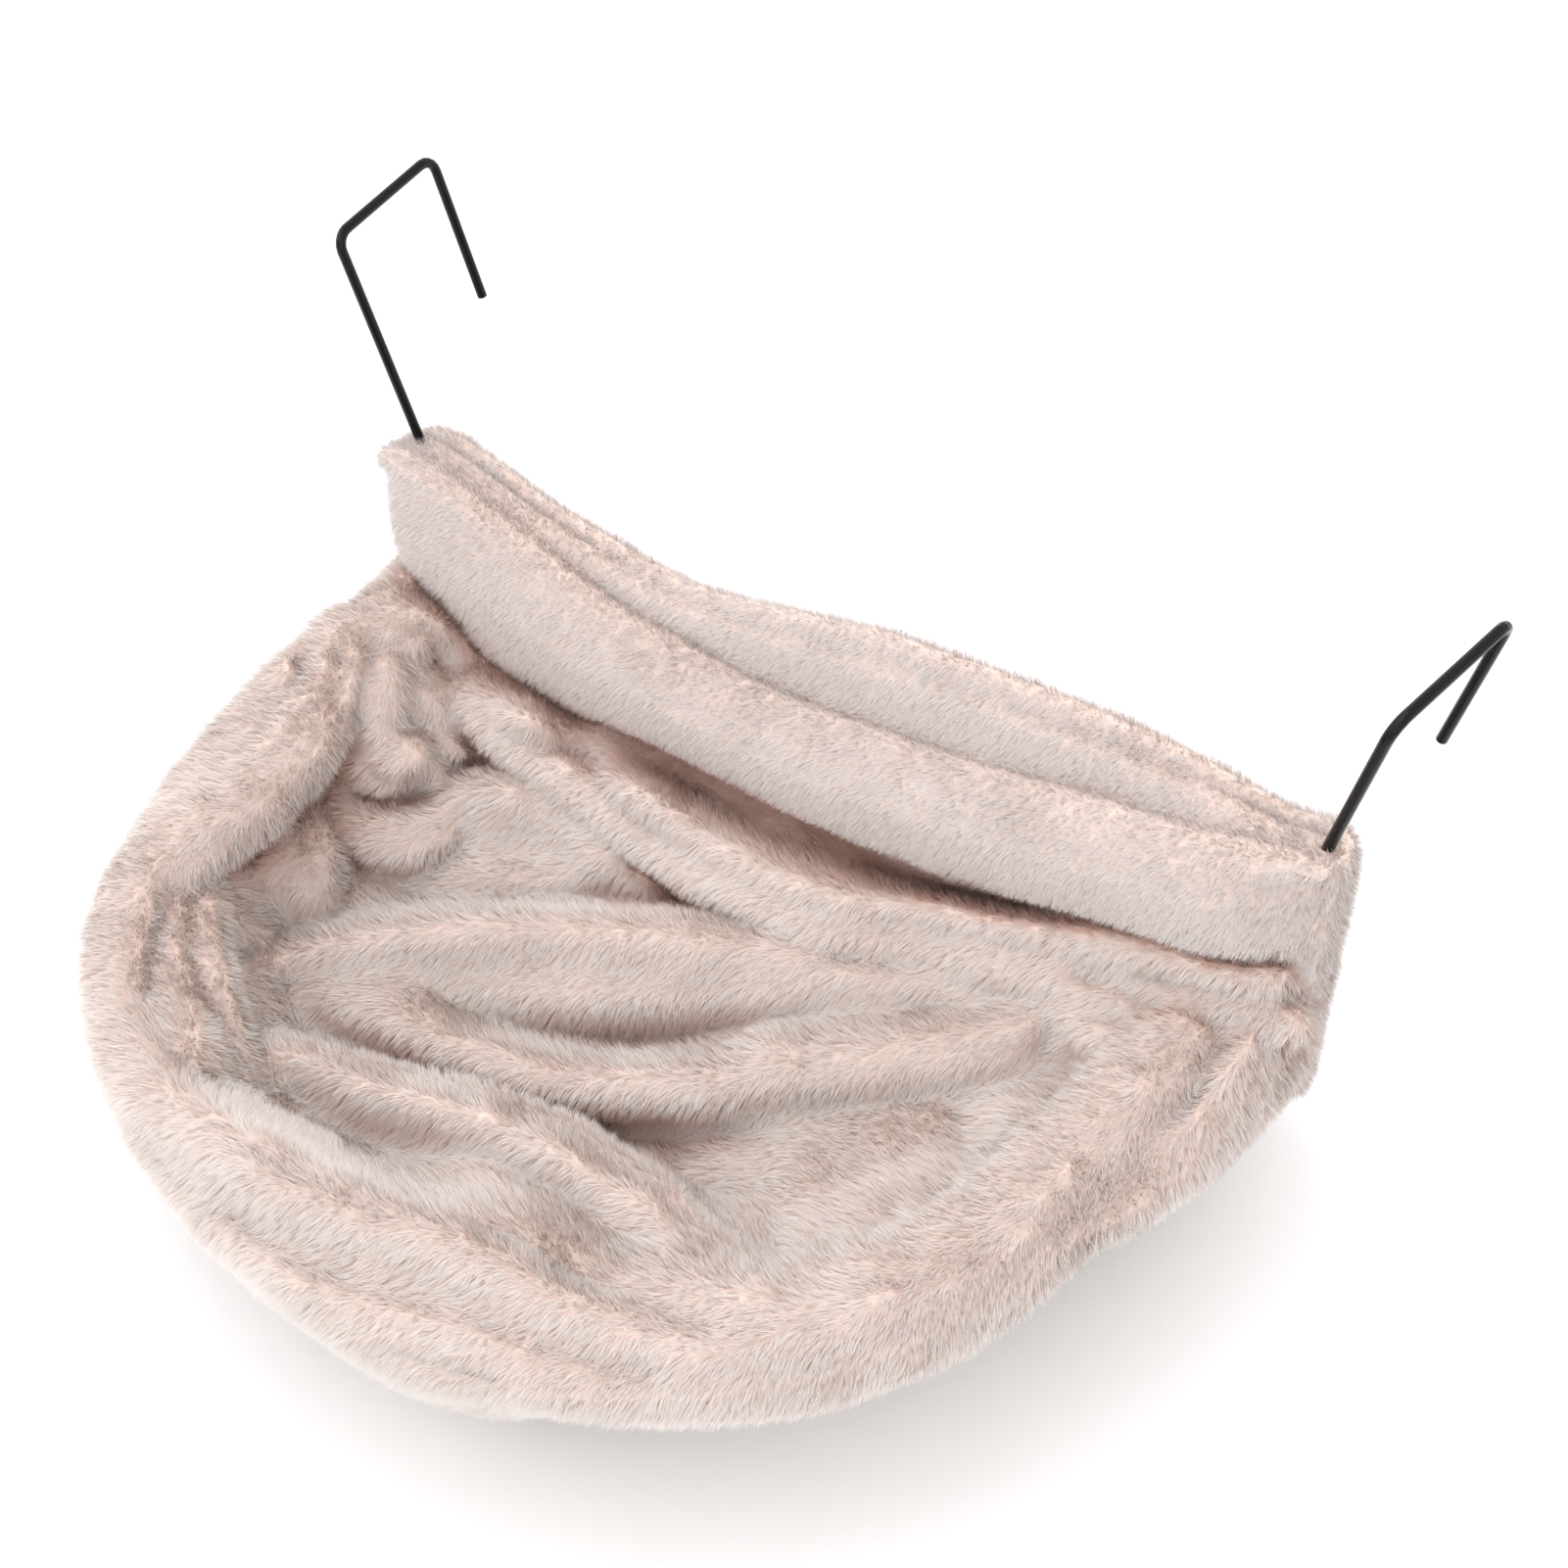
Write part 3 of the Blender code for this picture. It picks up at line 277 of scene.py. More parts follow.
# crests, faces and feet of the folds in the slack lining, read from the photograph through the
# camera: x, y, height, mm
bowl = {
    "hoopFront": [(-182, -200, -150), (-161, -230, -150), (-135, -256, -150), (-105, -277, -150),
        (-72, -292, -150), (-36, -302, -151), (0, -305, -151), (36, -302, -151), (72, -292, -151),
        (105, -277, -151), (135, -256, -151), (161, -230, -151), (182, -200, -151), (197, -167, -151),
        (207, -131, -151)],
    "hoopLeft": [(-211, -10, -151), (-211, -30, -149), (-212, -45, -147), (-213, -60, -145)],
    "hoopRight": [(210, -95, -149), (210, -75, -147), (210, -50, -144), (212, -34, -140)],
    "ribbonCrest": [(-179, -51, -153), (-188, -57, -147), (-198, -64, -144), (-204, -77, -142),
        (-198, -92, -141), (-188, -112, -142), (-178, -135, -143), (-175, -154, -143),
        (-172, -171, -143), (-173, -187, -143), (-173, -201, -143), (-171, -217, -143),
        (-166, -233, -144), (-154, -249, -145), (-138, -264, -146), (-118, -277, -146),
        (-95, -287, -146), (-72, -290, -145), (-48, -289, -144), (-29, -287, -144), (-11, -285, -144),
        (7, -281, -144), (25, -278, -144), (41, -274, -144), (56, -271, -145), (71, -268, -146),
        (87, -265, -147), (101, -261, -148), (116, -258, -149)],
    "ribbonMiddle": [(-201, -94, -142), (-192, -115, -143), (-185, -136, -144), (-181, -155, -144),
        (-179, -172, -144), (-179, -187, -144), (-179, -201, -144), (-177, -219, -144),
        (-170, -235, -145), (-159, -252, -146), (-142, -267, -147), (-122, -280, -147),
        (-98, -289, -147), (-74, -292, -146)],
    "ribbonCrease": [(-215, -85, -182), (-202, -102, -188), (-190, -117, -192), (-189, -136, -192),
        (-188, -152, -189), (-183, -171, -184), (-178, -187, -176), (-174, -200, -166)],
    "ribbonOuter": [(-205, -63, -146), (-212, -77, -143), (-208, -94, -143), (-199, -117, -144),
        (-192, -136, -145), (-188, -156, -145), (-186, -173, -145), (-186, -188, -145),
        (-186, -202, -145), (-183, -219, -145), (-175, -237, -146), (-163, -254, -147),
        (-146, -269, -148), (-126, -282, -148), (-102, -292, -148), (-77, -295, -147)],
    "rimCrease": [(-162, -214, -149), (-158, -226, -150), (-146, -242, -151), (-130, -254, -151),
        (-112, -263, -152), (-96, -268, -157), (-88, -265, -172), (-79, -261, -183), (-68, -255, -194),
        (-48, -253, -196), (-29, -252, -193), (-10, -251, -187), (10, -249, -178), (30, -247, -168),
        (54, -247, -160)],
    "flapCrest": [(-163, -206, -158), (-152, -220, -157), (-140, -231, -158), (-126, -240, -160),
        (-112, -247, -164), (-100, -252, -171), (-89, -255, -181)],
    "flapFoot": [(-158, -195, -180), (-143, -205, -185), (-130, -213, -193), (-119, -219, -202),
        (-113, -222, -209)],
    "wallFold": [(-187, -140, -190), (-170, -151, -190), (-158, -161, -195), (-148, -169, -203)],
    "wallHollow": [(-173, -171, -187), (-164, -182, -192), (-157, -191, -197)],
    "slit": [(-210, -82, -172), (-206, -91, -180)],
    "columnOne": [(-190, -71, -148), (-184, -84, -151), (-177, -95, -157), (-172, -104, -165),
        (-168, -108, -172)],
    "columnLeft": [(-198, -79, -152), (-189, -93, -159), (-181, -104, -167)],
    "columnRight": [(-184, -65, -155), (-175, -78, -164), (-168, -89, -172)],
    "columnTwo": [(-181, -61, -163), (-171, -69, -169), (-160, -73, -175)],
    "lobe": [(-188, -108, -178), (-176, -108, -176), (-165, -106, -174), (-155, -101, -173),
        (-146, -97, -176)],
    "jRecess": [(-166, -112, -203), (-154, -93, -206)],
    "jFold": [(-189, -114, -190), (-178, -123, -193), (-165, -129, -196), (-149, -129, -197),
        (-137, -123, -198), (-130, -113, -198), (-129, -100, -198), (-129, -87, -198)],
    "jFoot": [(-173, -133, -214), (-156, -134, -216), (-138, -128, -215), (-125, -116, -212)],
    "arch": [(-139, -104, -198), (-136, -95, -195), (-129, -86, -193), (-117, -76, -192),
        (-105, -70, -193), (-90, -69, -194), (-71, -71, -197), (-51, -74, -200), (-35, -76, -205)],
    "archBack": [(-156, -71, -211), (-142, -60, -211), (-125, -52, -210), (-105, -51, -210),
        (-81, -54, -210), (-58, -58, -210), (-34, -63, -209)],
    "plateau": [(-123, -104, -207), (-101, -89, -206), (-77, -85, -207), (-127, -127, -214),
        (-99, -112, -212), (-75, -100, -211), (-53, -87, -212)],
    "floorBack": [(-143, -168, -214), (-153, -184, -212), (-134, -150, -216), (-111, -132, -216),
        (-88, -112, -216), (-63, -95, -216), (-36, -81, -215), (-12, -70, -213)],
    "tuck": [(-172, -84, -177), (-164, -81, -181), (-153, -77, -186), (-144, -73, -191)],
    "tuckBack": [(-169, -65, -192), (-155, -63, -196)],
    "secondRoll": [(-194, -46, -172), (-162, -57, -175), (-132, -62, -177), (-109, -62, -179),
        (-86, -63, -180), (-65, -64, -181), (-41, -66, -181), (-19, -67, -180), (1, -66, -180),
        (20, -64, -179), (40, -62, -178), (60, -56, -176), (82, -47, -174), (101, -43, -171),
        (117, -42, -164), (142, -39, -156), (168, -38, -148), (191, -36, -141), (212, -32, -136),
        (232, -26, -132), (242, -23, -131)],
    "secondRollFoot": [(-145, -62, -208), (-119, -62, -212), (-97, -61, -215), (-75, -62, -217),
        (-50, -63, -217), (-29, -64, -217), (-6, -64, -213), (20, -63, -207), (41, -59, -204),
        (62, -54, -202), (84, -46, -198), (107, -38, -193), (126, -38, -184), (149, -38, -174),
        (170, -40, -166), (193, -38, -158), (215, -34, -152)],
    "upperRoll": [(-145, -204, -202), (-123, -186, -196), (-102, -167, -192), (-79, -150, -189),
        (-50, -128, -187), (-19, -108, -187), (8, -93, -187), (34, -84, -187), (58, -77, -187),
        (79, -66, -186), (106, -56, -183), (121, -47, -178), (138, -42, -172), (152, -44, -167)],
    "upperRollFace": [(-128, -200, -206), (-107, -184, -202), (-89, -167, -200), (-68, -153, -199),
        (-43, -138, -198), (-17, -125, -197), (8, -111, -196), (34, -98, -195), (57, -89, -194),
        (84, -73, -193), (104, -60, -191)],
    "upperRollLow": [(-64, -160, -207), (-38, -152, -207), (-15, -141, -206), (5, -127, -205),
        (27, -110, -203), (52, -96, -201)],
    "rollCrease": [(-82, -170, -204), (-63, -166, -214), (-41, -159, -220), (-25, -150, -224),
        (-3, -134, -226), (17, -119, -224), (38, -106, -216), (57, -97, -206), (77, -90, -198),
        (96, -78, -194), (109, -68, -190), (127, -55, -182), (141, -49, -172)],
    "tongue": [(26, -81, -189), (44, -72, -188), (57, -68, -189)],
    "lowerRollTop": [(58, -115, -194), (84, -99, -190), (103, -86, -187), (114, -76, -184),
        (132, -62, -178), (143, -52, -172), (154, -45, -167)],
    "lowerRoll": [(-129, -204, -209), (-104, -197, -206), (-73, -191, -202), (-46, -188, -199),
        (-24, -184, -197), (-5, -179, -195), (19, -167, -194), (41, -152, -193), (55, -142, -192),
        (68, -128, -190), (92, -110, -187), (116, -91, -184), (139, -73, -177), (154, -59, -171)],
    "lowerRollEdge": [(-100, -203, -213), (-65, -196, -211), (-25, -187, -208), (3, -178, -206),
        (27, -165, -205), (57, -147, -204), (73, -136, -203), (97, -117, -201), (122, -99, -197),
        (147, -85, -190), (160, -79, -186)],
    "deepHollow": [(-99, -205, -219), (-66, -198, -222), (-29, -186, -223), (-1, -177, -224),
        (18, -170, -224), (39, -158, -223), (61, -147, -218), (79, -138, -211), (101, -123, -203),
        (126, -105, -197), (145, -93, -191), (163, -84, -182), (180, -82, -172), (194, -83, -161)],
    "deepFloor": [(16, -180, -223), (42, -173, -222), (67, -172, -217), (65, -155, -217)],
    "peak": [(158, -49, -162), (178, -53, -158), (196, -56, -154), (211, -59, -152), (225, -66, -154)],
    "peakSide": [(171, -58, -176), (191, -65, -166)],
    "armFolds": [(170, -45, -170), (192, -46, -160), (216, -46, -150)],
    "frontFold": [(-105, -233, -197), (-81, -226, -195), (-60, -221, -193), (-41, -216, -191),
        (-22, -210, -189), (-4, -204, -188), (10, -203, -187), (26, -199, -186), (39, -200, -185),
        (57, -200, -183), (71, -199, -181), (86, -203, -178), (100, -207, -175), (120, -208, -171),
        (141, -206, -166), (165, -209, -161)],
    "frontFoldFace": [(-82, -240, -198), (-58, -237, -196), (-30, -231, -193), (-4, -224, -190),
        (25, -221, -186), (58, -219, -181), (90, -221, -174)],
    "frontFoldBack": [(-111, -218, -214), (35, -178, -224), (61, -177, -218), (83, -185, -208),
        (108, -190, -192)],
    "nearSlope": [(94, -162, -208), (120, -182, -190), (112, -143, -202), (134, -170, -186),
        (165, -192, -162), (134, -128, -194), (155, -156, -177), (181, -180, -157), (154, -117, -185),
        (176, -150, -164), (197, -161, -152), (173, -107, -174), (191, -129, -157), (190, -101, -162),
        (208, -111, -152)],
    "rollBack": [(41, -54, -172), (66, -47, -168), (91, -42, -162), (115, -39, -154), (145, -36, -142),
        (170, -35, -133), (200, -32, -126), (224, -24, -121), (238, -17, -120)],
    "rightShelf": [(178, -44, -152), (201, -42, -145), (223, -38, -140), (239, -33, -139)],
    "rightRim": [(-5, -295, -151), (35, -292, -150), (85, -276, -150), (129, -248, -149),
        (164, -210, -149), (188, -163, -148), (199, -112, -145), (202, -75, -142), (204, -45, -137),
        (206, -20, -131)],
    "rimInside": [(33, -280, -152), (57, -274, -151), (79, -265, -151), (101, -254, -150),
        (121, -239, -150), (139, -222, -150), (154, -203, -150), (167, -182, -150), (177, -159, -149),
        (184, -135, -149), (187, -111, -148)],
    "underBand": [(-200, -24, -168), (-160, -30, -180), (-120, -36, -184), (-80, -40, -185),
        (-40, -42, -184), (0, -41, -183), (40, -36, -181), (80, -26, -180), (120, -20, -168),
        (160, -15, -144), (200, -12, -131), (225, -12, -126)],
    "underBandBack": [(-200, -8, -150), (-150, -8, -160), (-100, -8, -165), (-50, -8, -165),
        (0, -8, -164), (50, -6, -160), (100, -6, -150), (150, -6, -140), (200, -6, -132)],
}

# the outer bag: walls under the hoop, underside, and how the bowl's surface is laid, mm
bag = {
    # at each table column: how far the upper edge stands out from the hoop, and its height
    "edge": [8, 6, 7, 9, 17, 18, 16, 10, 8, 8, 7, 5, 4, 5, 12, 17, 18],
    "edgeHeight": [
        -154, -150, -147, -148, -154, -157, -156, -154, -153, -155, -156, -157, -157, -156, -154, -146, -133],
    # height, then how far the wall stands out from the hoop at each table column
    "wall": [
        (-160, [20, 15, 15, 16, 22, 23, 20, 14, 11, 14, 13, 9, 8, 9, 21, 26, 27]),
        (-168, [25, 21, 21, 21, 27, 25, 22, 15, 11, 13, 9, 4, 0, 2, 22, 28, 29]),
        (-176, [27, 26, 26, 25, 30, 26, 22, 14, 10, 11, 6, 0, -5, -2, 20, 27, 29]),
        (-190, [29, 30, 30, 31, 31, 27, 20, 12, 6, 7, -1, -8, -12, -8, 12, 23, 26]),
        (-205, [28, 30, 30, 30, 29, 25, 19, 10, 3, 3, -7, -14, -18, -13, 4, 16, 21]),
        (-220, [24, 26, 26, 25, 23, 20, 14, 5, -3, -4, -14, -21, -25, -20, -4, 9, 16]),
        (-233, [16, 18, 18, 16, 14, 11, 6, -2, -12, -14, -24, -30, -33, -28, -14, 0, 8]),
        (-242, [2, 4, 4, 2, 0, -3, -8, -16, -26, -28, -36, -42, -46, -40, -28, -14, -6]),
    ],
    "underside": [(-247, 0.24), (-250, 0.5), (-251, 0.8)],  # height, share of the way to the middle
    "middle": (0.45, -118.0),  # share of the width that stays, and its place from front to rear
    "backPlace": -6.0,
    "backHeight": -150.0,
    # the folds lean this much towards the front right for each mm that they rise
    "lean": (0.335, -0.37),
    "leanHeight": -160.0,
    "roundness": 4.5,
    "lineStep": 8.0,
    "closest": 3,  # nearer points of two lines count once
    "slack": 0.6,  # how loosely the surface follows the lines
    "steps": 56,  # rings from the edge to the middle
    "sideCount": 150,  # points of a ring round the hoop, and along its straight back
    "backCount": 60,
}
hammockFinish = {"voxel": 2.4, "soften": 3, "softenFactor": 0.5}


def leanOf(x, y, z):
    rise = z - bag["leanHeight"]
    return x - bag["lean"][0] * rise, y - bag["lean"][1] * rise


def fitBowl(edgePoints):
    # a smooth surface through the fold lines and the rim, like cloth laid over them
    known = []
    for line in bowl.values():
        path = smoothPath(line, bag["lineStep"]) if len(line) > 2 else line
        known += [(*leanOf(x, y, z), z) for x, y, z in path]
    known += [(*leanOf(x, y, z), z) for x, y, z in edgePoints[::2]]
    kept = []
    for p in known:
        if all((p[0] - q[0]) ** 2 + (p[1] - q[1]) ** 2 > bag["closest"] ** 2 for q in kept):
            kept.append(p)
    kept = np.array(kept)
    centres, heights = kept[:, :2], kept[:, 2]

    def spread(places):
        gap = places[:, None, :] - centres[None, :, :]
        return np.sqrt((gap ** 2).sum(2) + bag["roundness"] ** 2)

    count = len(kept)
    system = np.ones((count + 1, count + 1))
    system[:count, :count] = spread(centres) - np.eye(count) * bag["slack"]
    system[count, count] = 0
    weights = np.linalg.solve(system, np.append(heights, 0))
    return lambda places: spread(places) @ weights[:count] + weights[count]


def makeBag():
    baseLine = []
    for k in range(bag["sideCount"] + 1):
        along = hoopLength * k / bag["sideCount"]
        baseLine.append((*hoopPoint(along), along))
    for k in range(1, bag["backCount"]):
        x = hoop["halfWidth"] * (1 - 2 * k / bag["backCount"])
        baseLine.append(((x, 0.0), (0.0, 1.0), None))

    def wallRing(z, offsets, heights=None):
        ring = []
        for place, out, along in baseLine:
            if along is None:
                ring.append((place[0], bag["backPlace"], z if heights is None else bag["backHeight"]))
                continue
            offset = readTable(list(zip(tableColumns, offsets)), along)
            h = z if heights is None else readTable(list(zip(tableColumns, heights)), along)
            y = min(place[1] + out[1] * offset, bag["backPlace"])
            ring.append((place[0] + out[0] * offset, y, h))
        return ring

    share, middleY = bag["middle"]

    def towardsMiddle(x, y, part):
        return x + (x * share - x) * part, y + (middleY - y) * part

    rings = []
    lowest = wallRing(*bag["wall"][-1])
    for z, part in reversed(bag["underside"]):
        rings.append([(*towardsMiddle(x, y, part), z) for x, y, h in lowest])
    for z, offsets in reversed(bag["wall"]):
        rings.append(wallRing(z, offsets))
    edge = wallRing(0, bag["edge"], bag["edgeHeight"])
    rings.append(edge)
    heightAt = fitBowl(edge)
    leaned = [leanOf(*p) for p in edge]
    for n in range(1, bag["steps"]):
        places = np.array([towardsMiddle(x, y, n / bag["steps"]) for x, y in leaned])
        ring = []
        for (x, y), z in zip(places, heightAt(places)):
            rise = z - bag["leanHeight"]
            ring.append((x + bag["lean"][0] * rise, y + bag["lean"][1] * rise, z))
        rings.append(ring)
    points = [(x * mm, y * mm, z * mm) for ring in rings for x, y, z in ring]
    # the last ring is a flat strip along the middle, so it closes on itself
    faces = [tuple(reversed(face)) for face in loftFaces(len(rings), len(baseLine))]
    body = meshObject("bagBody", points, faces)
    faceOutwards(body, triangles=True)
    return body


# these crests are full rolls of plush: their half width at the start, middle and end, and the length
# over which their ends fade, mm
rolls = {
    "secondRoll": (7, 11, 10, 40),
    "ribbonCrest": (15, 12, 8, 14),
    "ribbonMiddle": (13, 12, 9, 30),
    "ribbonOuter": (12, 9, 7, 12),
    "lobe": (8, 11, 9, 12),
    "jFold": (6, 8, 6, 14),
    "columnOne": (11, 14, 10, 12),
    "columnTwo": (7, 8, 6, 12),
    "tuck": (4, 6, 4, 12),
    "arch": (7, 10, 6, 20),
    "upperRoll": (5, 9, 5, 40),
    "lowerRoll": (6, 9, 9, 40),
    "frontFold": (5, 9, 5, 40),
    "peak": (9, 9, 6, 14),
    "flapCrest": (8, 11, 7, 16),
    "wallFold": (9, 13, 9, 14),
    "rightRim": (14, 23, 18, 60),
}
rollShape = {
    "step": 5.0,  # between two rings, mm
    "sides": 12,
    "endStart": 0.1,  # where the fade starts before the end, in steps
    "thinnest": 0.2,  # share of the half width that is left at the ends
    "endSink": 9,  # how far the ends sink into the surface, mm
}


def makeRoll(name, widths):
    start, middle, end, fadeLength = widths
    line = smoothPath(bowl[name], rollShape["step"])
    last = len(line) - 1
    rings = []
    for i, (x, y, z) in enumerate(line):
        r = readTable([(0, start), (0.5, middle), (1, end)], i / last)
        fade = min(1.0, rollShape["step"] * (min(i, last - i) + rollShape["endStart"]) / fadeLength)
        ease = math.sqrt(1 - (1 - fade) ** 2)
        r *= max(rollShape["thinnest"], ease)
        ahead, behind = line[min(i + 1, last)], line[max(i - 1, 0)]
        along = Vector([ahead[c] - behind[c] for c in range(3)]).normalized()
        side = along.cross(Vector((0, 0, 1))).normalized()
        up = side.cross(along)
        centre = Vector((x, y, z - rollShape["endSink"] * (1 - ease))) - up * r
        turns = np.linspace(0, 2 * math.pi, rollShape["sides"] + 1)[:-1]
        rings.append([centre + side * (r * math.cos(a)) + up * (r * math.sin(a)) for a in turns])
    points = [p * mm for ring in rings for p in ring]
    item = meshObject(name, points, loftFaces(len(rings), rollShape["sides"]))
    faceOutwards(item)
    return item


# sharp creases pressed into the skin: depth and half width, then the places that they pass, mm
creases = {
    "rimLeft": (2, 3.5, [(-168, -201, -147), (-166, -214, -148), (-158, -227, -148), (-146, -240, -150),
        (-138, -253, -153), (-123, -263, -155), (-110, -267, -160), (-103, -265, -166)]),
    "slit": (4, 4.0, [(-196, -89, -139), (-191, -96, -146), (-184, -107, -147), (-179, -118, -153)]),
    "lobeFoot": (4, 3.5, [(-166, -119, -172), (-159, -115, -180), (-151, -109, -184), (-148, -94, -187)]),
    "frontOne": (5, 6.0, [(-81, -306, -161), (-54, -310, -156), (-31, -310, -153), (9, -303, -149),
        (45, -292, -147), (63, -287, -147)]),
    "frontTwo": (2, 5.0, [(12, -314, -155), (36, -311, -154), (62, -299, -152), (94, -286, -151)]),
    "frontThree": (5, 5.5, [(41, -287, -144), (76, -283, -146), (108, -274, -149), (134, -262, -151)]),
    "frontFour": (5, 5.0, [(45, -313, -161), (72, -305, -156), (93, -297, -158)]),
    "rimBack": (5, 6.0, [(50, -257, -154), (85, -250, -157), (118, -244, -152), (141, -238, -148)]),
    "parting": (4, 6.0, [(89, -156, -214), (114, -178, -195), (134, -199, -174)]),
    "slopeOne": (5, 6.0, [(140, -95, -202), (159, -117, -184), (172, -138, -174)]),
    "stripeA": (4, 3.5, [(136, -22, -159), (169, -24, -143), (196, -24, -134), (222, -22, -128)]),
    "stripeB": (5, 3.5, [(154, -44, -154), (177, -43, -148), (196, -43, -145), (233, -30, -139)]),
    "stripeC": (4, 3.0, [(177, -37, -143), (203, -32, -135), (226, -24, -131)]),
    "rollNick": (4, 3.5, [(150, -53, -169), (155, -60, -172), (158, -67, -179)]),
}
creaseShape = {"step": 2.0, "endSteps": 5}  # mm between the dabs, and dabs over which the ends fade


def pressCreases(skin):
    # moves the skin's points inwards near each crease, like a sculpting brush
    points, normals = readSkin(skin)
    push = np.zeros(len(points))
    for depth, half, line in creases.values():
        path = np.array(smoothPath(line, creaseShape["step"]))
        near = np.zeros(len(points))
        for k, place in enumerate(path):
            end = min(1.0, (min(k, len(path) - 1 - k) + 1) / creaseShape["endSteps"])
            near = np.maximum(near, end * np.exp(-((points - place) ** 2).sum(1) / (2 * half ** 2)))
        push = np.maximum(push, depth * near)
    points -= normals * push[:, None]
    skin.data.vertices.foreach_set("co", (points / metre).reshape(-1))
    skin.data.update()


hammock = fuse("hammockPlush", [makeBag()] + [makeRoll(*roll) for roll in rolls.items()], hammockFinish)
pressCreases(hammock)

# the pocket: a broad band in front, and the layers behind the hooks, mm
pocket = {
    # height of the band's crest, of the layers behind it and of the band's lower edge along x
    "crest": [(-240, -104), (-224, -98), (-209, -98), (-170, -107), (-116, -124), (-61, -129), (-8, -127),
              (40, -118), (89, -107), (139, -93), (173, -84), (229, -67), (240, -72)],
    "top": [(-240, -108), (-224, -102), (-155, -114), (-77, -119), (-20, -104), (28, -89), (139, -74),
            (220, -77), (240, -84)],
    "lower": [(-240, -168), (-222, -172), (-205, -170), (-158, -184), (-118, -183), (-64, -171), (13, -168),
              (61, -160), (98, -152), (144, -136), (176, -127), (216, -117), (240, -112)],
    # how far forward the band bulges along x
    "front": [(-236, -7), (-229, -19), (-218, -29), (-204, -34), (-150, -38), (0, -38), (150, -36),
              (196, -34), (212, -30), (224, -22), (231, -12), (236, -3)],
    "bottom": -223,
    "halfWidth": 235.0,
    "stations": 90,
    "endLength": 10,
    "rearDepth": (6, 12),  # the rear face at the ends, and how much further back it lies between them
    "leastDrop": 4,  # from the band's crest to the layers behind it
    # under the band, the front face lies further forward from this far out
    "underPlace": -8,
    "underSwell": (7, 170, 30),
    "gapHeights": (-172, -186),
}
pocketFinish = {"voxel": 2.2, "soften": 3, "softenFactor": 0.5}


def pocketRing(x):
    # the pocket's section across the bed at x
    c = readTable(pocket["crest"], x)
    t = max(readTable(pocket["top"], x), c - pocket["leastDrop"])
    b = readTable(pocket["lower"], x)
    f = readTable(pocket["front"], x)
    h = c - b
    end = min(1.0, (pocket["halfWidth"] - abs(x)) / pocket["endLength"])
    swell, swellStart, swellLength = pocket["underSwell"]
    under = pocket["underPlace"] - swell * min(1.0, max(0.0, (abs(x) - swellStart) / swellLength)) * end
    rear = pocket["rearDepth"][0] + pocket["rearDepth"][1] * end ** 0.5
    bottom = pocket["bottom"]
    upperGap, lowerGap = pocket["gapHeights"]
    profile = [
        # the rear layer, up its back and over its top
        (rear, bottom), (rear, t - 20), (rear - 1, t - 8), (rear - 4, t - 1), (rear - 8, t), (rear - 11, t - 3),
        # the second layer and the groove behind the band
        (rear - 12, t - 7), (rear - 14, c + (t - c) * 0.72), (rear - 18, c + (t - c) * 0.62),
        (-3, c + (t - c) * 0.3 - 1), (-6, c - 2),
        # the band, over its crest and down its front
        (-9, c - 1), (-13, c + 1), (-20, c - 1), (f * 0.75, c - 0.14 * h), (f * 0.95, c - 0.34 * h),
        (f, c - 0.6 * h), (f * 0.97, c - 0.82 * h), (f * 0.86, b), (f * 0.6, b - 1),
        # under the band and down inside the bag
        (under, b + 5), (under, min(b - 10, upperGap)), (-4, min(b - 24, lowerGap)), (-2, bottom)]
    return [(x * mm, y * mm, z * mm) for y, z in profile]


def makePocket():
    turns = np.linspace(-math.pi / 2, math.pi / 2, pocket["stations"])
    rings = [pocketRing(pocket["halfWidth"] * math.sin(a)) for a in turns]
    item = meshObject("pocketBody", [p for ring in rings for p in ring], loftFaces(len(rings), len(rings[0])))
    faceOutwards(item)
    return fuse("pocketPlush", [item], pocketFinish)


pocketSkin = makePocket()
print("skins made")

# the pile: every strand is a thin pointed leaf of one triangle that grows from the skin
pile = {
    "perPiece": 195000,
    "flow": (-0.22, -0.78, -0.52),  # the way that the strands lie on the whole: to the front and down
    "sunk": 0.6,  # roots in the skin, mm
    # sizes in mm and seeds of the smooth noise that turns, leans and lengthens the strands
    "wideSwirl": (60, 3),
    "narrowSwirl": (19, 13),
    "leanNoise": (15, 29),
    "lengthNoise": (26, 41),
    "leanJitter": 8,  # degrees
    "growJitter": 0.15,
    "lengthSpread": (0.28, 0.2),  # smooth and random
    "lengthLimits": (0.6, 1.1),  # of the shortest and the longest
    "tuftHeight": 3,  # strands gather by where they are at this height, mm
    "tuftKeep": 0.25,
    "tuftRange": (0.3, 1.2),
    "toneSpread": (0.2, 0.2),  # of single strands and of tufts
    "twist": 40,  # degrees
    "widthRange": (0.7, 1.25),
    "skinShade": 0.8,  # share of the skin's and of the leaf's own normal in the shading
    "leafShade": 0.45,
}
# how deep in a fold each place lies, the mask for the shade painted into the pile's colour: rays from just over
# the skin into the open
hollowCheck = {"rays": 10, "reach": 45.0, "lift": 4.0, "cone": 0.85}
bowlPile = {
    "strandArea": 0.44,  # skin for each strand, mm2
    "length": (5.0, 8.5),
    "rootWidth": 0.42,
    "lean": (26, 60),  # degrees from the skin's normal
    "tuftArea": 15.0,  # skin for each tuft, mm2
    "tuftPull": 0.42,
    "swirl": (0.28, 0.22),
    "seed": 11,
}
bandPile = {
    "strandArea": 0.42,
    "length": (3.4, 5.8),
    "rootWidth": 0.38,
    "lean": (24, 52),
    "tuftArea": 9.0,
    "tuftPull": 0.36,
    "swirl": (0.20, 0.20),
    "seed": 23,
}


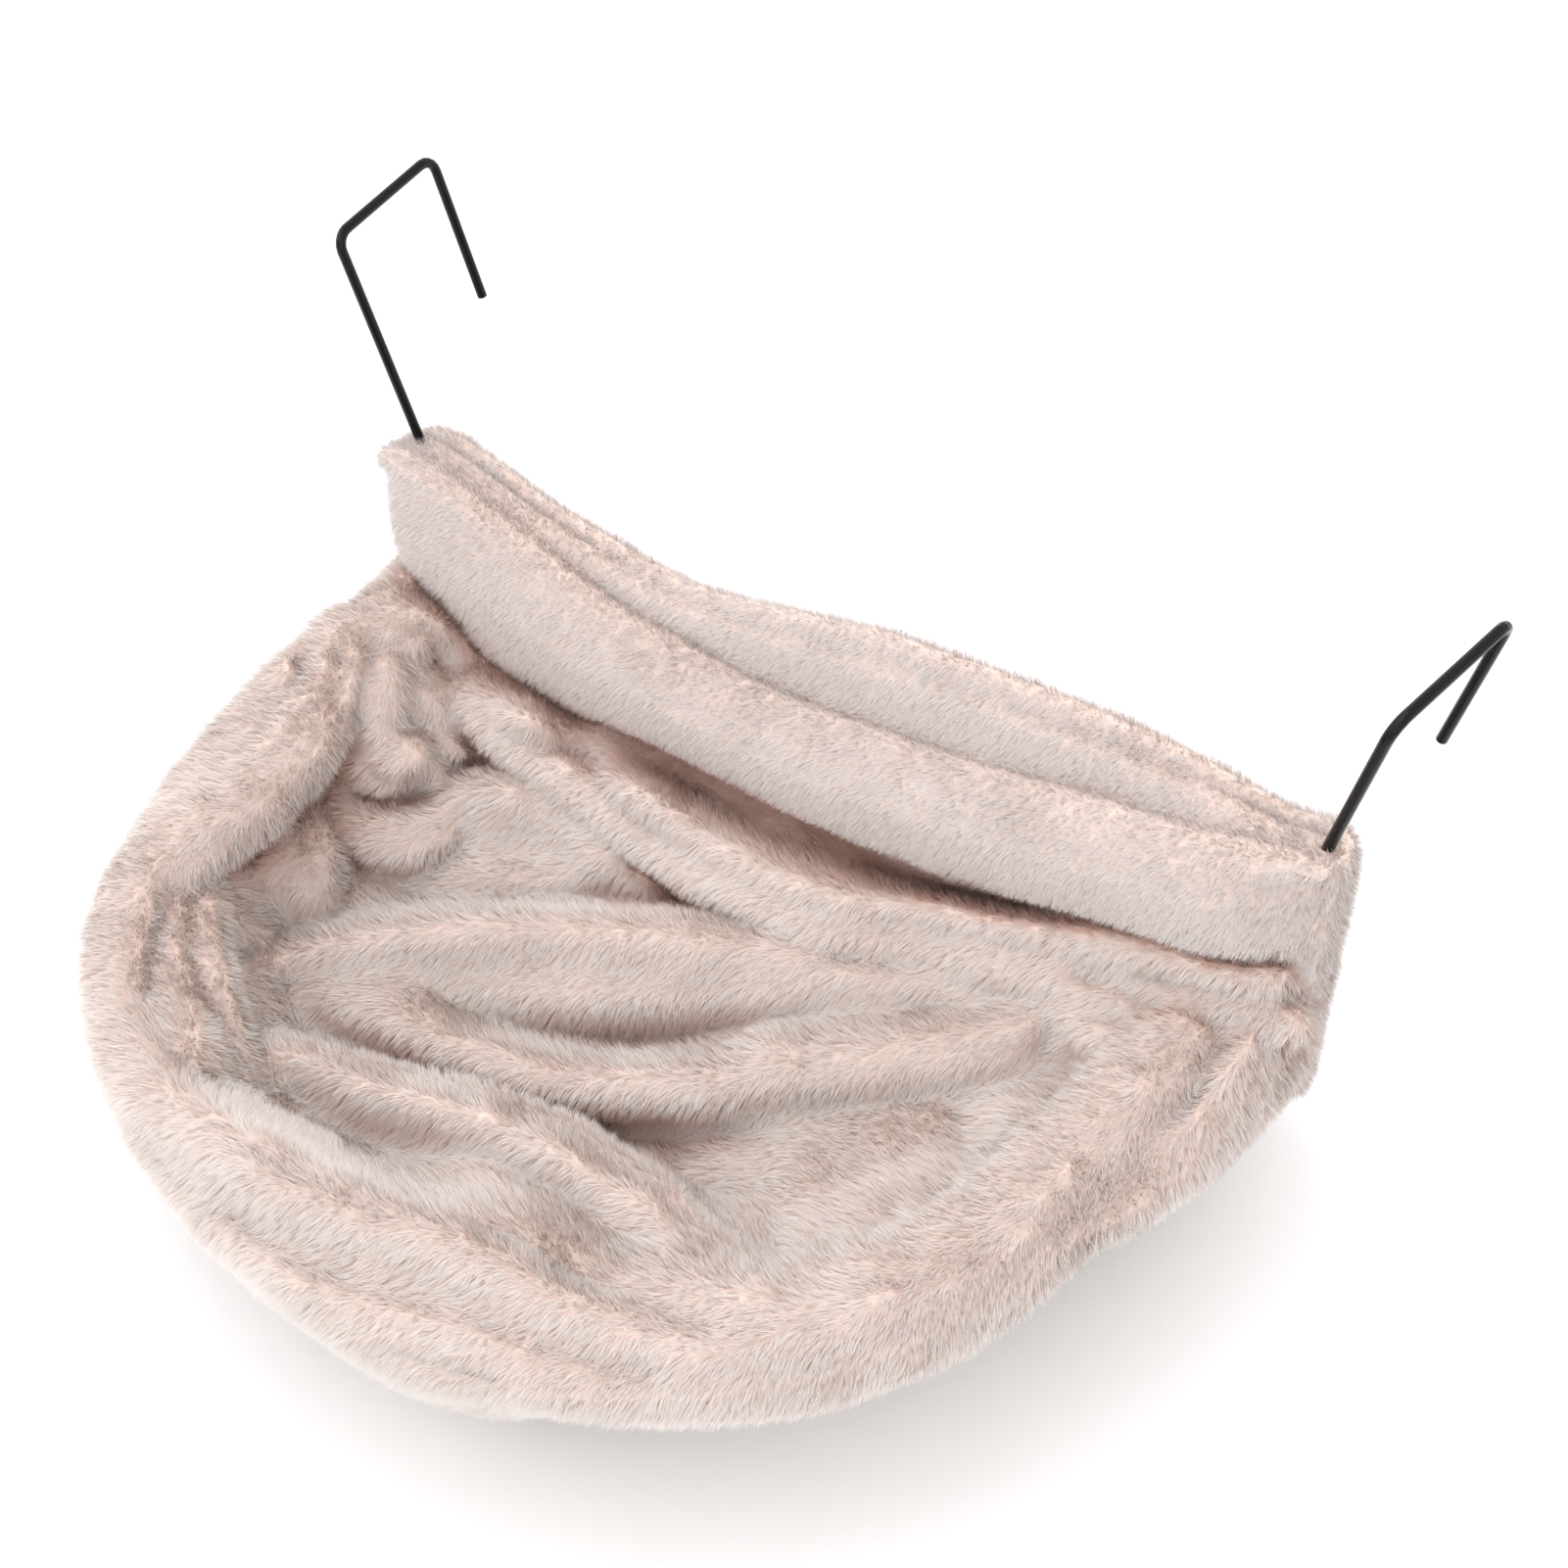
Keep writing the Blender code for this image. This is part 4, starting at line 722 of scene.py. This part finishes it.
def valueNoise(places, size, seed):
    # smooth noise in -1..1 at places in mm, with features of this size
    at = places / size + seed * 17.31
    cell = np.floor(at).astype(np.int64)
    part = at - cell
    part = part * part * (3 - 2 * part)
    total = np.zeros(len(places))
    for corner in np.ndindex(2, 2, 2):
        dx, dy, dz = corner
        # large primes scatter the cells' numbers
        key = ((cell[:, 0] + dx) * 73856093) ^ ((cell[:, 1] + dy) * 19349663) ^ ((cell[:, 2] + dz) * 83492791)
        key = (key * 1103515245 + 12345 + seed * 7919) & 0x7FFFFFFF
        value = ((key >> 8) & 0xFFFF) / 32767.5 - 1
        weight = np.abs(1 - dx - part[:, 0]) * np.abs(1 - dy - part[:, 1]) * np.abs(1 - dz - part[:, 2])
        total += value * weight
    return total


def unit(vectors):
    return vectors / np.maximum(np.linalg.norm(vectors, axis=1, keepdims=True), 1e-9)


def findHollows(skins):
    # share of the open space that the plush itself hides, at each point of each skin
    points, faces = [], []
    for skin in skins:
        base = len(points)
        points += [v.co.copy() for v in skin.data.vertices]
        faces += [[base + i for i in face.vertices] for face in skin.data.polygons]
    tree = BVHTree.FromPolygons(points, faces)
    golden = math.pi * (3 - math.sqrt(5))
    rays = hollowCheck["rays"]
    ways = []
    for n in range(rays):
        rise = 1 - (n + 0.5) / rays * hollowCheck["cone"]
        ring = math.sqrt(1 - rise * rise)
        ways.append(Vector((ring * math.cos(n * golden), ring * math.sin(n * golden), rise)))
    hidden = {}
    for skin in skins:
        shares = np.zeros(len(skin.data.vertices))
        for k, v in enumerate(skin.data.vertices):
            out = skin.data.vertex_normals[k].vector
            start = v.co + out * (hollowCheck["lift"] * mm)
            reach = hollowCheck["reach"] * mm
            found = [tree.ray_cast(start, (way + out).normalized(), reach)[0] for way in ways]
            shares[k] = sum(place is not None for place in found) / rays
        hidden[skin.name] = shares
    return hidden


def scatterRoots(skin, strandArea, dice):
    # even places over the skin: roots in mm, the skin's normal there, and how deep in a fold they lie
    points, normals = readSkin(skin)
    mesh = skin.data
    mesh.calc_loop_triangles()
    corners = np.empty(len(mesh.loop_triangles) * 3, dtype=np.int32)
    mesh.loop_triangles.foreach_get("vertices", corners)
    corners = corners.reshape(-1, 3)
    a, b, c = points[corners[:, 0]], points[corners[:, 1]], points[corners[:, 2]]
    area = np.linalg.norm(np.cross(b - a, c - a), axis=1) / 2
    count = int(area.sum() / strandArea)
    chosen = np.searchsorted(np.cumsum(area), dice.random(count) * area.sum())
    chosen = np.minimum(chosen, len(area) - 1)
    u, v = dice.random(count), dice.random(count)
    over = u + v > 1
    u[over], v[over] = 1 - u[over], 1 - v[over]
    w = 1 - u - v
    one, two, three = corners[chosen].T
    roots = points[one] * w[:, None] + points[two] * u[:, None] + points[three] * v[:, None]
    out = unit(normals[one] * w[:, None] + normals[two] * u[:, None] + normals[three] * v[:, None])
    shares = hollows[skin.name]
    hollow = shares[one] * w + shares[two] * u + shares[three] * v
    return roots, out, hollow, area.sum()


def layStrands(roots, out, settings, dice):
    # the way that each strand grows and its length: the pile lies to the front and down, turned a
    # little by the folds and by use
    count = len(roots)
    flow = np.tile(np.array([pile["flow"]]), (count, 1))
    wide, narrow = settings["swirl"]
    wideSize, wideSeed = pile["wideSwirl"]
    narrowSize, narrowSeed = pile["narrowSwirl"]
    for axis in range(3):
        flow[:, axis] += (wide * valueNoise(roots, wideSize, wideSeed + axis)
                          + narrow * valueNoise(roots, narrowSize, narrowSeed + axis))
    flow -= (flow * out).sum(1)[:, None] * out
    flow = unit(flow)
    low, high = settings["lean"]
    jitter = dice.normal(0, pile["leanJitter"], count)
    lean = np.radians((low + high) / 2 + (high - low) / 2 * valueNoise(roots, *pile["leanNoise"]) + jitter)
    scatter = dice.normal(0, pile["growJitter"], (count, 3))
    grow = unit(out * np.cos(lean)[:, None] + flow * np.sin(lean)[:, None] + scatter)
    short, long = settings["length"]
    smoothShare, randomShare = pile["lengthSpread"]
    spread = smoothShare * valueNoise(roots, *pile["lengthNoise"]) + dice.normal(0, randomShare, count)
    least, most = pile["lengthLimits"]
    length = np.clip(short + (long - short) * (0.5 + spread), short * least, long * most)
    return grow, length[:, None]


def growPile(skin, label, settings):
    dice = np.random.default_rng(settings["seed"])
    roots, out, hollow, area = scatterRoots(skin, settings["strandArea"], dice)
    grow, length = layStrands(roots, out, settings, dice)
    count = len(roots)
    tips = roots + grow * length

    # neighbours lean together into tufts
    tuftCount = max(8, int(area / settings["tuftArea"]))
    leaders = dice.choice(count, tuftCount, replace=False)
    tree = kdtree.KDTree(tuftCount)
    for k, n in enumerate(leaders):
        tree.insert(roots[n] + grow[n] * pile["tuftHeight"], k)
    tree.balance()
    heads = roots + grow * pile["tuftHeight"]
    nearest = np.fromiter((tree.find(head)[1] for head in heads), dtype=np.int64, count=count)
    leader = leaders[nearest]
    pull = (settings["tuftPull"] * dice.uniform(*pile["tuftRange"], count))[:, None]
    tips += (tips[leader] + (roots - roots[leader]) * pile["tuftKeep"] - tips) * pull
    strandTone, tuftTone = pile["toneSpread"]
    tone = 0.5 + strandTone * dice.normal(0, 1, count) + tuftTone * dice.normal(0, 1, tuftCount)[nearest]
    tone = np.clip(tone, 0, 1)

    # the leaves stand across their own way, twisted a little
    across = unit(np.cross(tips - roots, out))
    spin = np.radians(dice.uniform(-pile["twist"], pile["twist"], count))[:, None]
    across = unit(across * np.cos(spin) + np.cross(unit(tips - roots), across) * np.sin(spin))
    width = (settings["rootWidth"] * dice.uniform(*pile["widthRange"], count))[:, None] / 2
    roots = roots - out * pile["sunk"]
    leaf = np.stack([roots - across * width, roots + across * width, tips], axis=1)
    facing = (np.cross(leaf[:, 1] - leaf[:, 0], leaf[:, 2] - leaf[:, 0]) * out).sum(1) < 0
    leaf[facing] = leaf[facing][:, [1, 0, 2]]
    # their shading follows the skin more than the single leaf, as light spreads through the pile
    own = unit(np.cross(leaf[:, 1] - leaf[:, 0], leaf[:, 2] - leaf[:, 0]))
    soft = unit(out * pile["skinShade"] + own * pile["leafShade"])

    pieceCount = math.ceil(count / pile["perPiece"])
    made = []
    for n, part in enumerate(np.array_split(dice.permutation(count), pieceCount)):
        made.append(leafMesh(f"{label}{n + 1}", leaf[part], soft[part], tone[part], hollow[part]))
    print(label, count, "strands in", pieceCount, "pieces")
    return made


def leafMesh(name, leaf, soft, tone, hollow):
    count = len(leaf)
    mesh = bpy.data.meshes.new(name)
    mesh.vertices.add(count * 3)
    mesh.vertices.foreach_set("co", (leaf.reshape(-1) * mm).astype(np.float32))
    mesh.loops.add(count * 3)
    mesh.loops.foreach_set("vertex_index", np.arange(count * 3, dtype=np.int32))
    mesh.polygons.add(count)
    mesh.polygons.foreach_set("loop_start", np.arange(0, count * 3, 3, dtype=np.int32))
    mesh.update(calc_edges=True)
    mesh.polygons.foreach_set("use_smooth", np.ones(count, dtype=bool))
    # the materials read these: 0 at the root and 1 at the tip, each strand's own tone, and the hollows, which
    # mask the painted shade
    facts = {
        "along": np.tile([0.0, 0.0, 1.0], count),
        "tone": np.repeat(tone, 3),
        "hollow": np.repeat(hollow, 3),
    }
    for fact, values in facts.items():
        mesh.attributes.new(fact, "FLOAT", "POINT").data.foreach_set("value", values.astype(np.float32))
    # each leaf has its own cell of the map, root below and tip above
    side = math.ceil(math.sqrt(count))
    cell = np.stack([np.arange(count) % side, np.arange(count) // side], axis=1)[:, None, :]
    shape = np.array([[[0.1, 0.1], [0.9, 0.1], [0.5, 0.95]]])
    layer = mesh.uv_layers.new(name="OFBake")
    layer.data.foreach_set("uv", ((cell + shape) / side).reshape(-1).astype(np.float32))
    normal = mesh.attributes.new("custom_normal", "FLOAT_VECTOR", "POINT")
    normal.data.foreach_set("vector", np.repeat(soft, 3, axis=0).reshape(-1).astype(np.float32))
    item = bpy.data.objects.new(name, mesh)
    bpy.context.scene.collection.objects.link(item)
    return item


hollows = findHollows([hammock, pocketSkin])
hammockPile = growPile(hammock, "bowlPile", bowlPile)
pocketPile = growPile(pocketSkin, "pocketPile", bandPile)

# strands of the plush, by material: colour at the root and at the tip, of a tinted strand, and the painted warm
# shade of hollows
pileColours = {
    # long polyester pile, spun fine and matt: pale pinkish beige, paler at its thin tips
    "polyesterPile": ("#ebdcd5", "#f3eeec", "#f5ece6", "#fad6c6"),
    # the same pile sheared shorter on the pocket, so less of the pale tips shows
    "shortPolyesterPile": ("#e0d6d2", "#ece6e5", "#f3ebe7", "#f8d5c6"),
}
pileFinish = {
    "Roughness": 0.85,
    "Specular IOR Level": 0.2,
    "Sheen Weight": 0.25,
    "Sheen Roughness": 0.5,
}
tintShare = 0.55
mixFactor, mixFirst, mixSecond, mixColour = 0, 6, 7, 2  # a colour mix node's sockets


def makePile(name):
    root, tip, tint, hollowShadeColour = [toLinear(colour) for colour in pileColours[name]]
    material = bpy.data.materials.new(name)
    material.use_nodes = True
    tree = material.node_tree
    shader = tree.nodes["Principled BSDF"]
    along = addNode(tree, "ShaderNodeAttribute", {"attribute_name": "along"})
    tone = addNode(tree, "ShaderNodeAttribute", {"attribute_name": "tone"})
    hollow = addNode(tree, "ShaderNodeAttribute", {"attribute_name": "hollow"})
    # paler towards the tip
    strand = addNode(tree, "ShaderNodeMix", {"data_type": "RGBA"}, {mixFirst: root, mixSecond: tip},
                     {mixFactor: along.outputs["Fac"]})
    # some strands and tufts are a little warmer than others
    share = addNode(tree, "ShaderNodeMath", {"operation": "MULTIPLY"}, {1: tintShare}, {0: tone.outputs["Fac"]})
    multiply = {"data_type": "RGBA", "blend_type": "MULTIPLY"}
    tinted = addNode(tree, "ShaderNodeMix", multiply, {mixSecond: tint},
                     {mixFactor: share.outputs[0], mixFirst: strand.outputs[mixColour]})
    # painted shade: strands deep in a fold are multiplied towards a warm darker colour, standing in for light
    # that bounces about in a hollow
    paintedShade = addNode(tree, "ShaderNodeMix", multiply, {mixSecond: hollowShadeColour},
                   {mixFactor: hollow.outputs["Fac"], mixFirst: tinted.outputs[mixColour]})
    tree.links.new(paintedShade.outputs[mixColour], shader.inputs["Base Color"])
    for socket, value in pileFinish.items():
        shader.inputs[socket].default_value = value
    return material


def makePlain(name, colour, roughness, metallic, specular, sheen=0.0):
    material = bpy.data.materials.new(name)
    material.use_nodes = True
    shader = material.node_tree.nodes["Principled BSDF"]
    shader.inputs["Base Color"].default_value = toLinear(colour)
    shader.inputs["Roughness"].default_value = roughness
    shader.inputs["Metallic"].default_value = metallic
    shader.inputs["Specular IOR Level"].default_value = specular
    shader.inputs["Sheen Weight"].default_value = sheen
    return material


for strands, name in ((hammockPile, "polyesterPile"), (pocketPile, "shortPolyesterPile")):
    pileMaterial = makePile(name)
    for item in strands:
        item.data.materials.append(pileMaterial)

# knitted polyester backing that the pile is rooted in: matt, and only seen where the pile parts
backing = makePlain("plushBacking", "#eed9ce", 0.95, 0.0, 0.5, sheen=0.5)
for skin in (hammock, pocketSkin):
    skin.data.materials.clear()
    skin.data.materials.append(backing)
    for face in skin.data.polygons:
        face.use_smooth = True

# what the stored solids that stay are made of: colour, roughness, metallic, specular level, nodes
solids = {
    # glossy black paint on bent steel wire and on the rail's steel tube
    "glossBlackPaint": ("#050506", 0.16, 0.0, 0.22, ("left_hook", "right_hook", "rear_rail", "hoop_rod")),
    # moulded nylon, dyed black, with a fine matt grain from the mould
    "blackNylon": ("#0b0b0c", 0.55, 0.0, 0.4, ("left_corner_connector", "right_corner_connector")),
    # bright zinc plating on pressed steel
    "zincPlating": ("#b9bcc0", 0.32, 1.0, 0.5, ("left_leg_cap", "right_leg_cap")),
    # woven polyester hook-and-loop tape
    "wovenTape": ("#dcc9bd", 0.9, 0.0, 0.2, ("loop_tape", "hook_tape")),
}
for name, (colour, roughness, metallic, specular, nodes) in solids.items():
    solid = makePlain(name, colour, roughness, metallic, specular)
    for node in nodes:
        for place in bpy.data.objects[node].material_slots:
            place.material = solid
print("materials ready")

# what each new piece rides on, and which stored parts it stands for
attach(hammock, "bed")
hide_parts("rim_sleeve", "outer_bag", "lining")
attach(pocketSkin, "bed")
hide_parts("back_band", "back_panel")
for item in hammockPile:
    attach(item, "bed")
for item in pocketPile:
    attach(item, "bed")
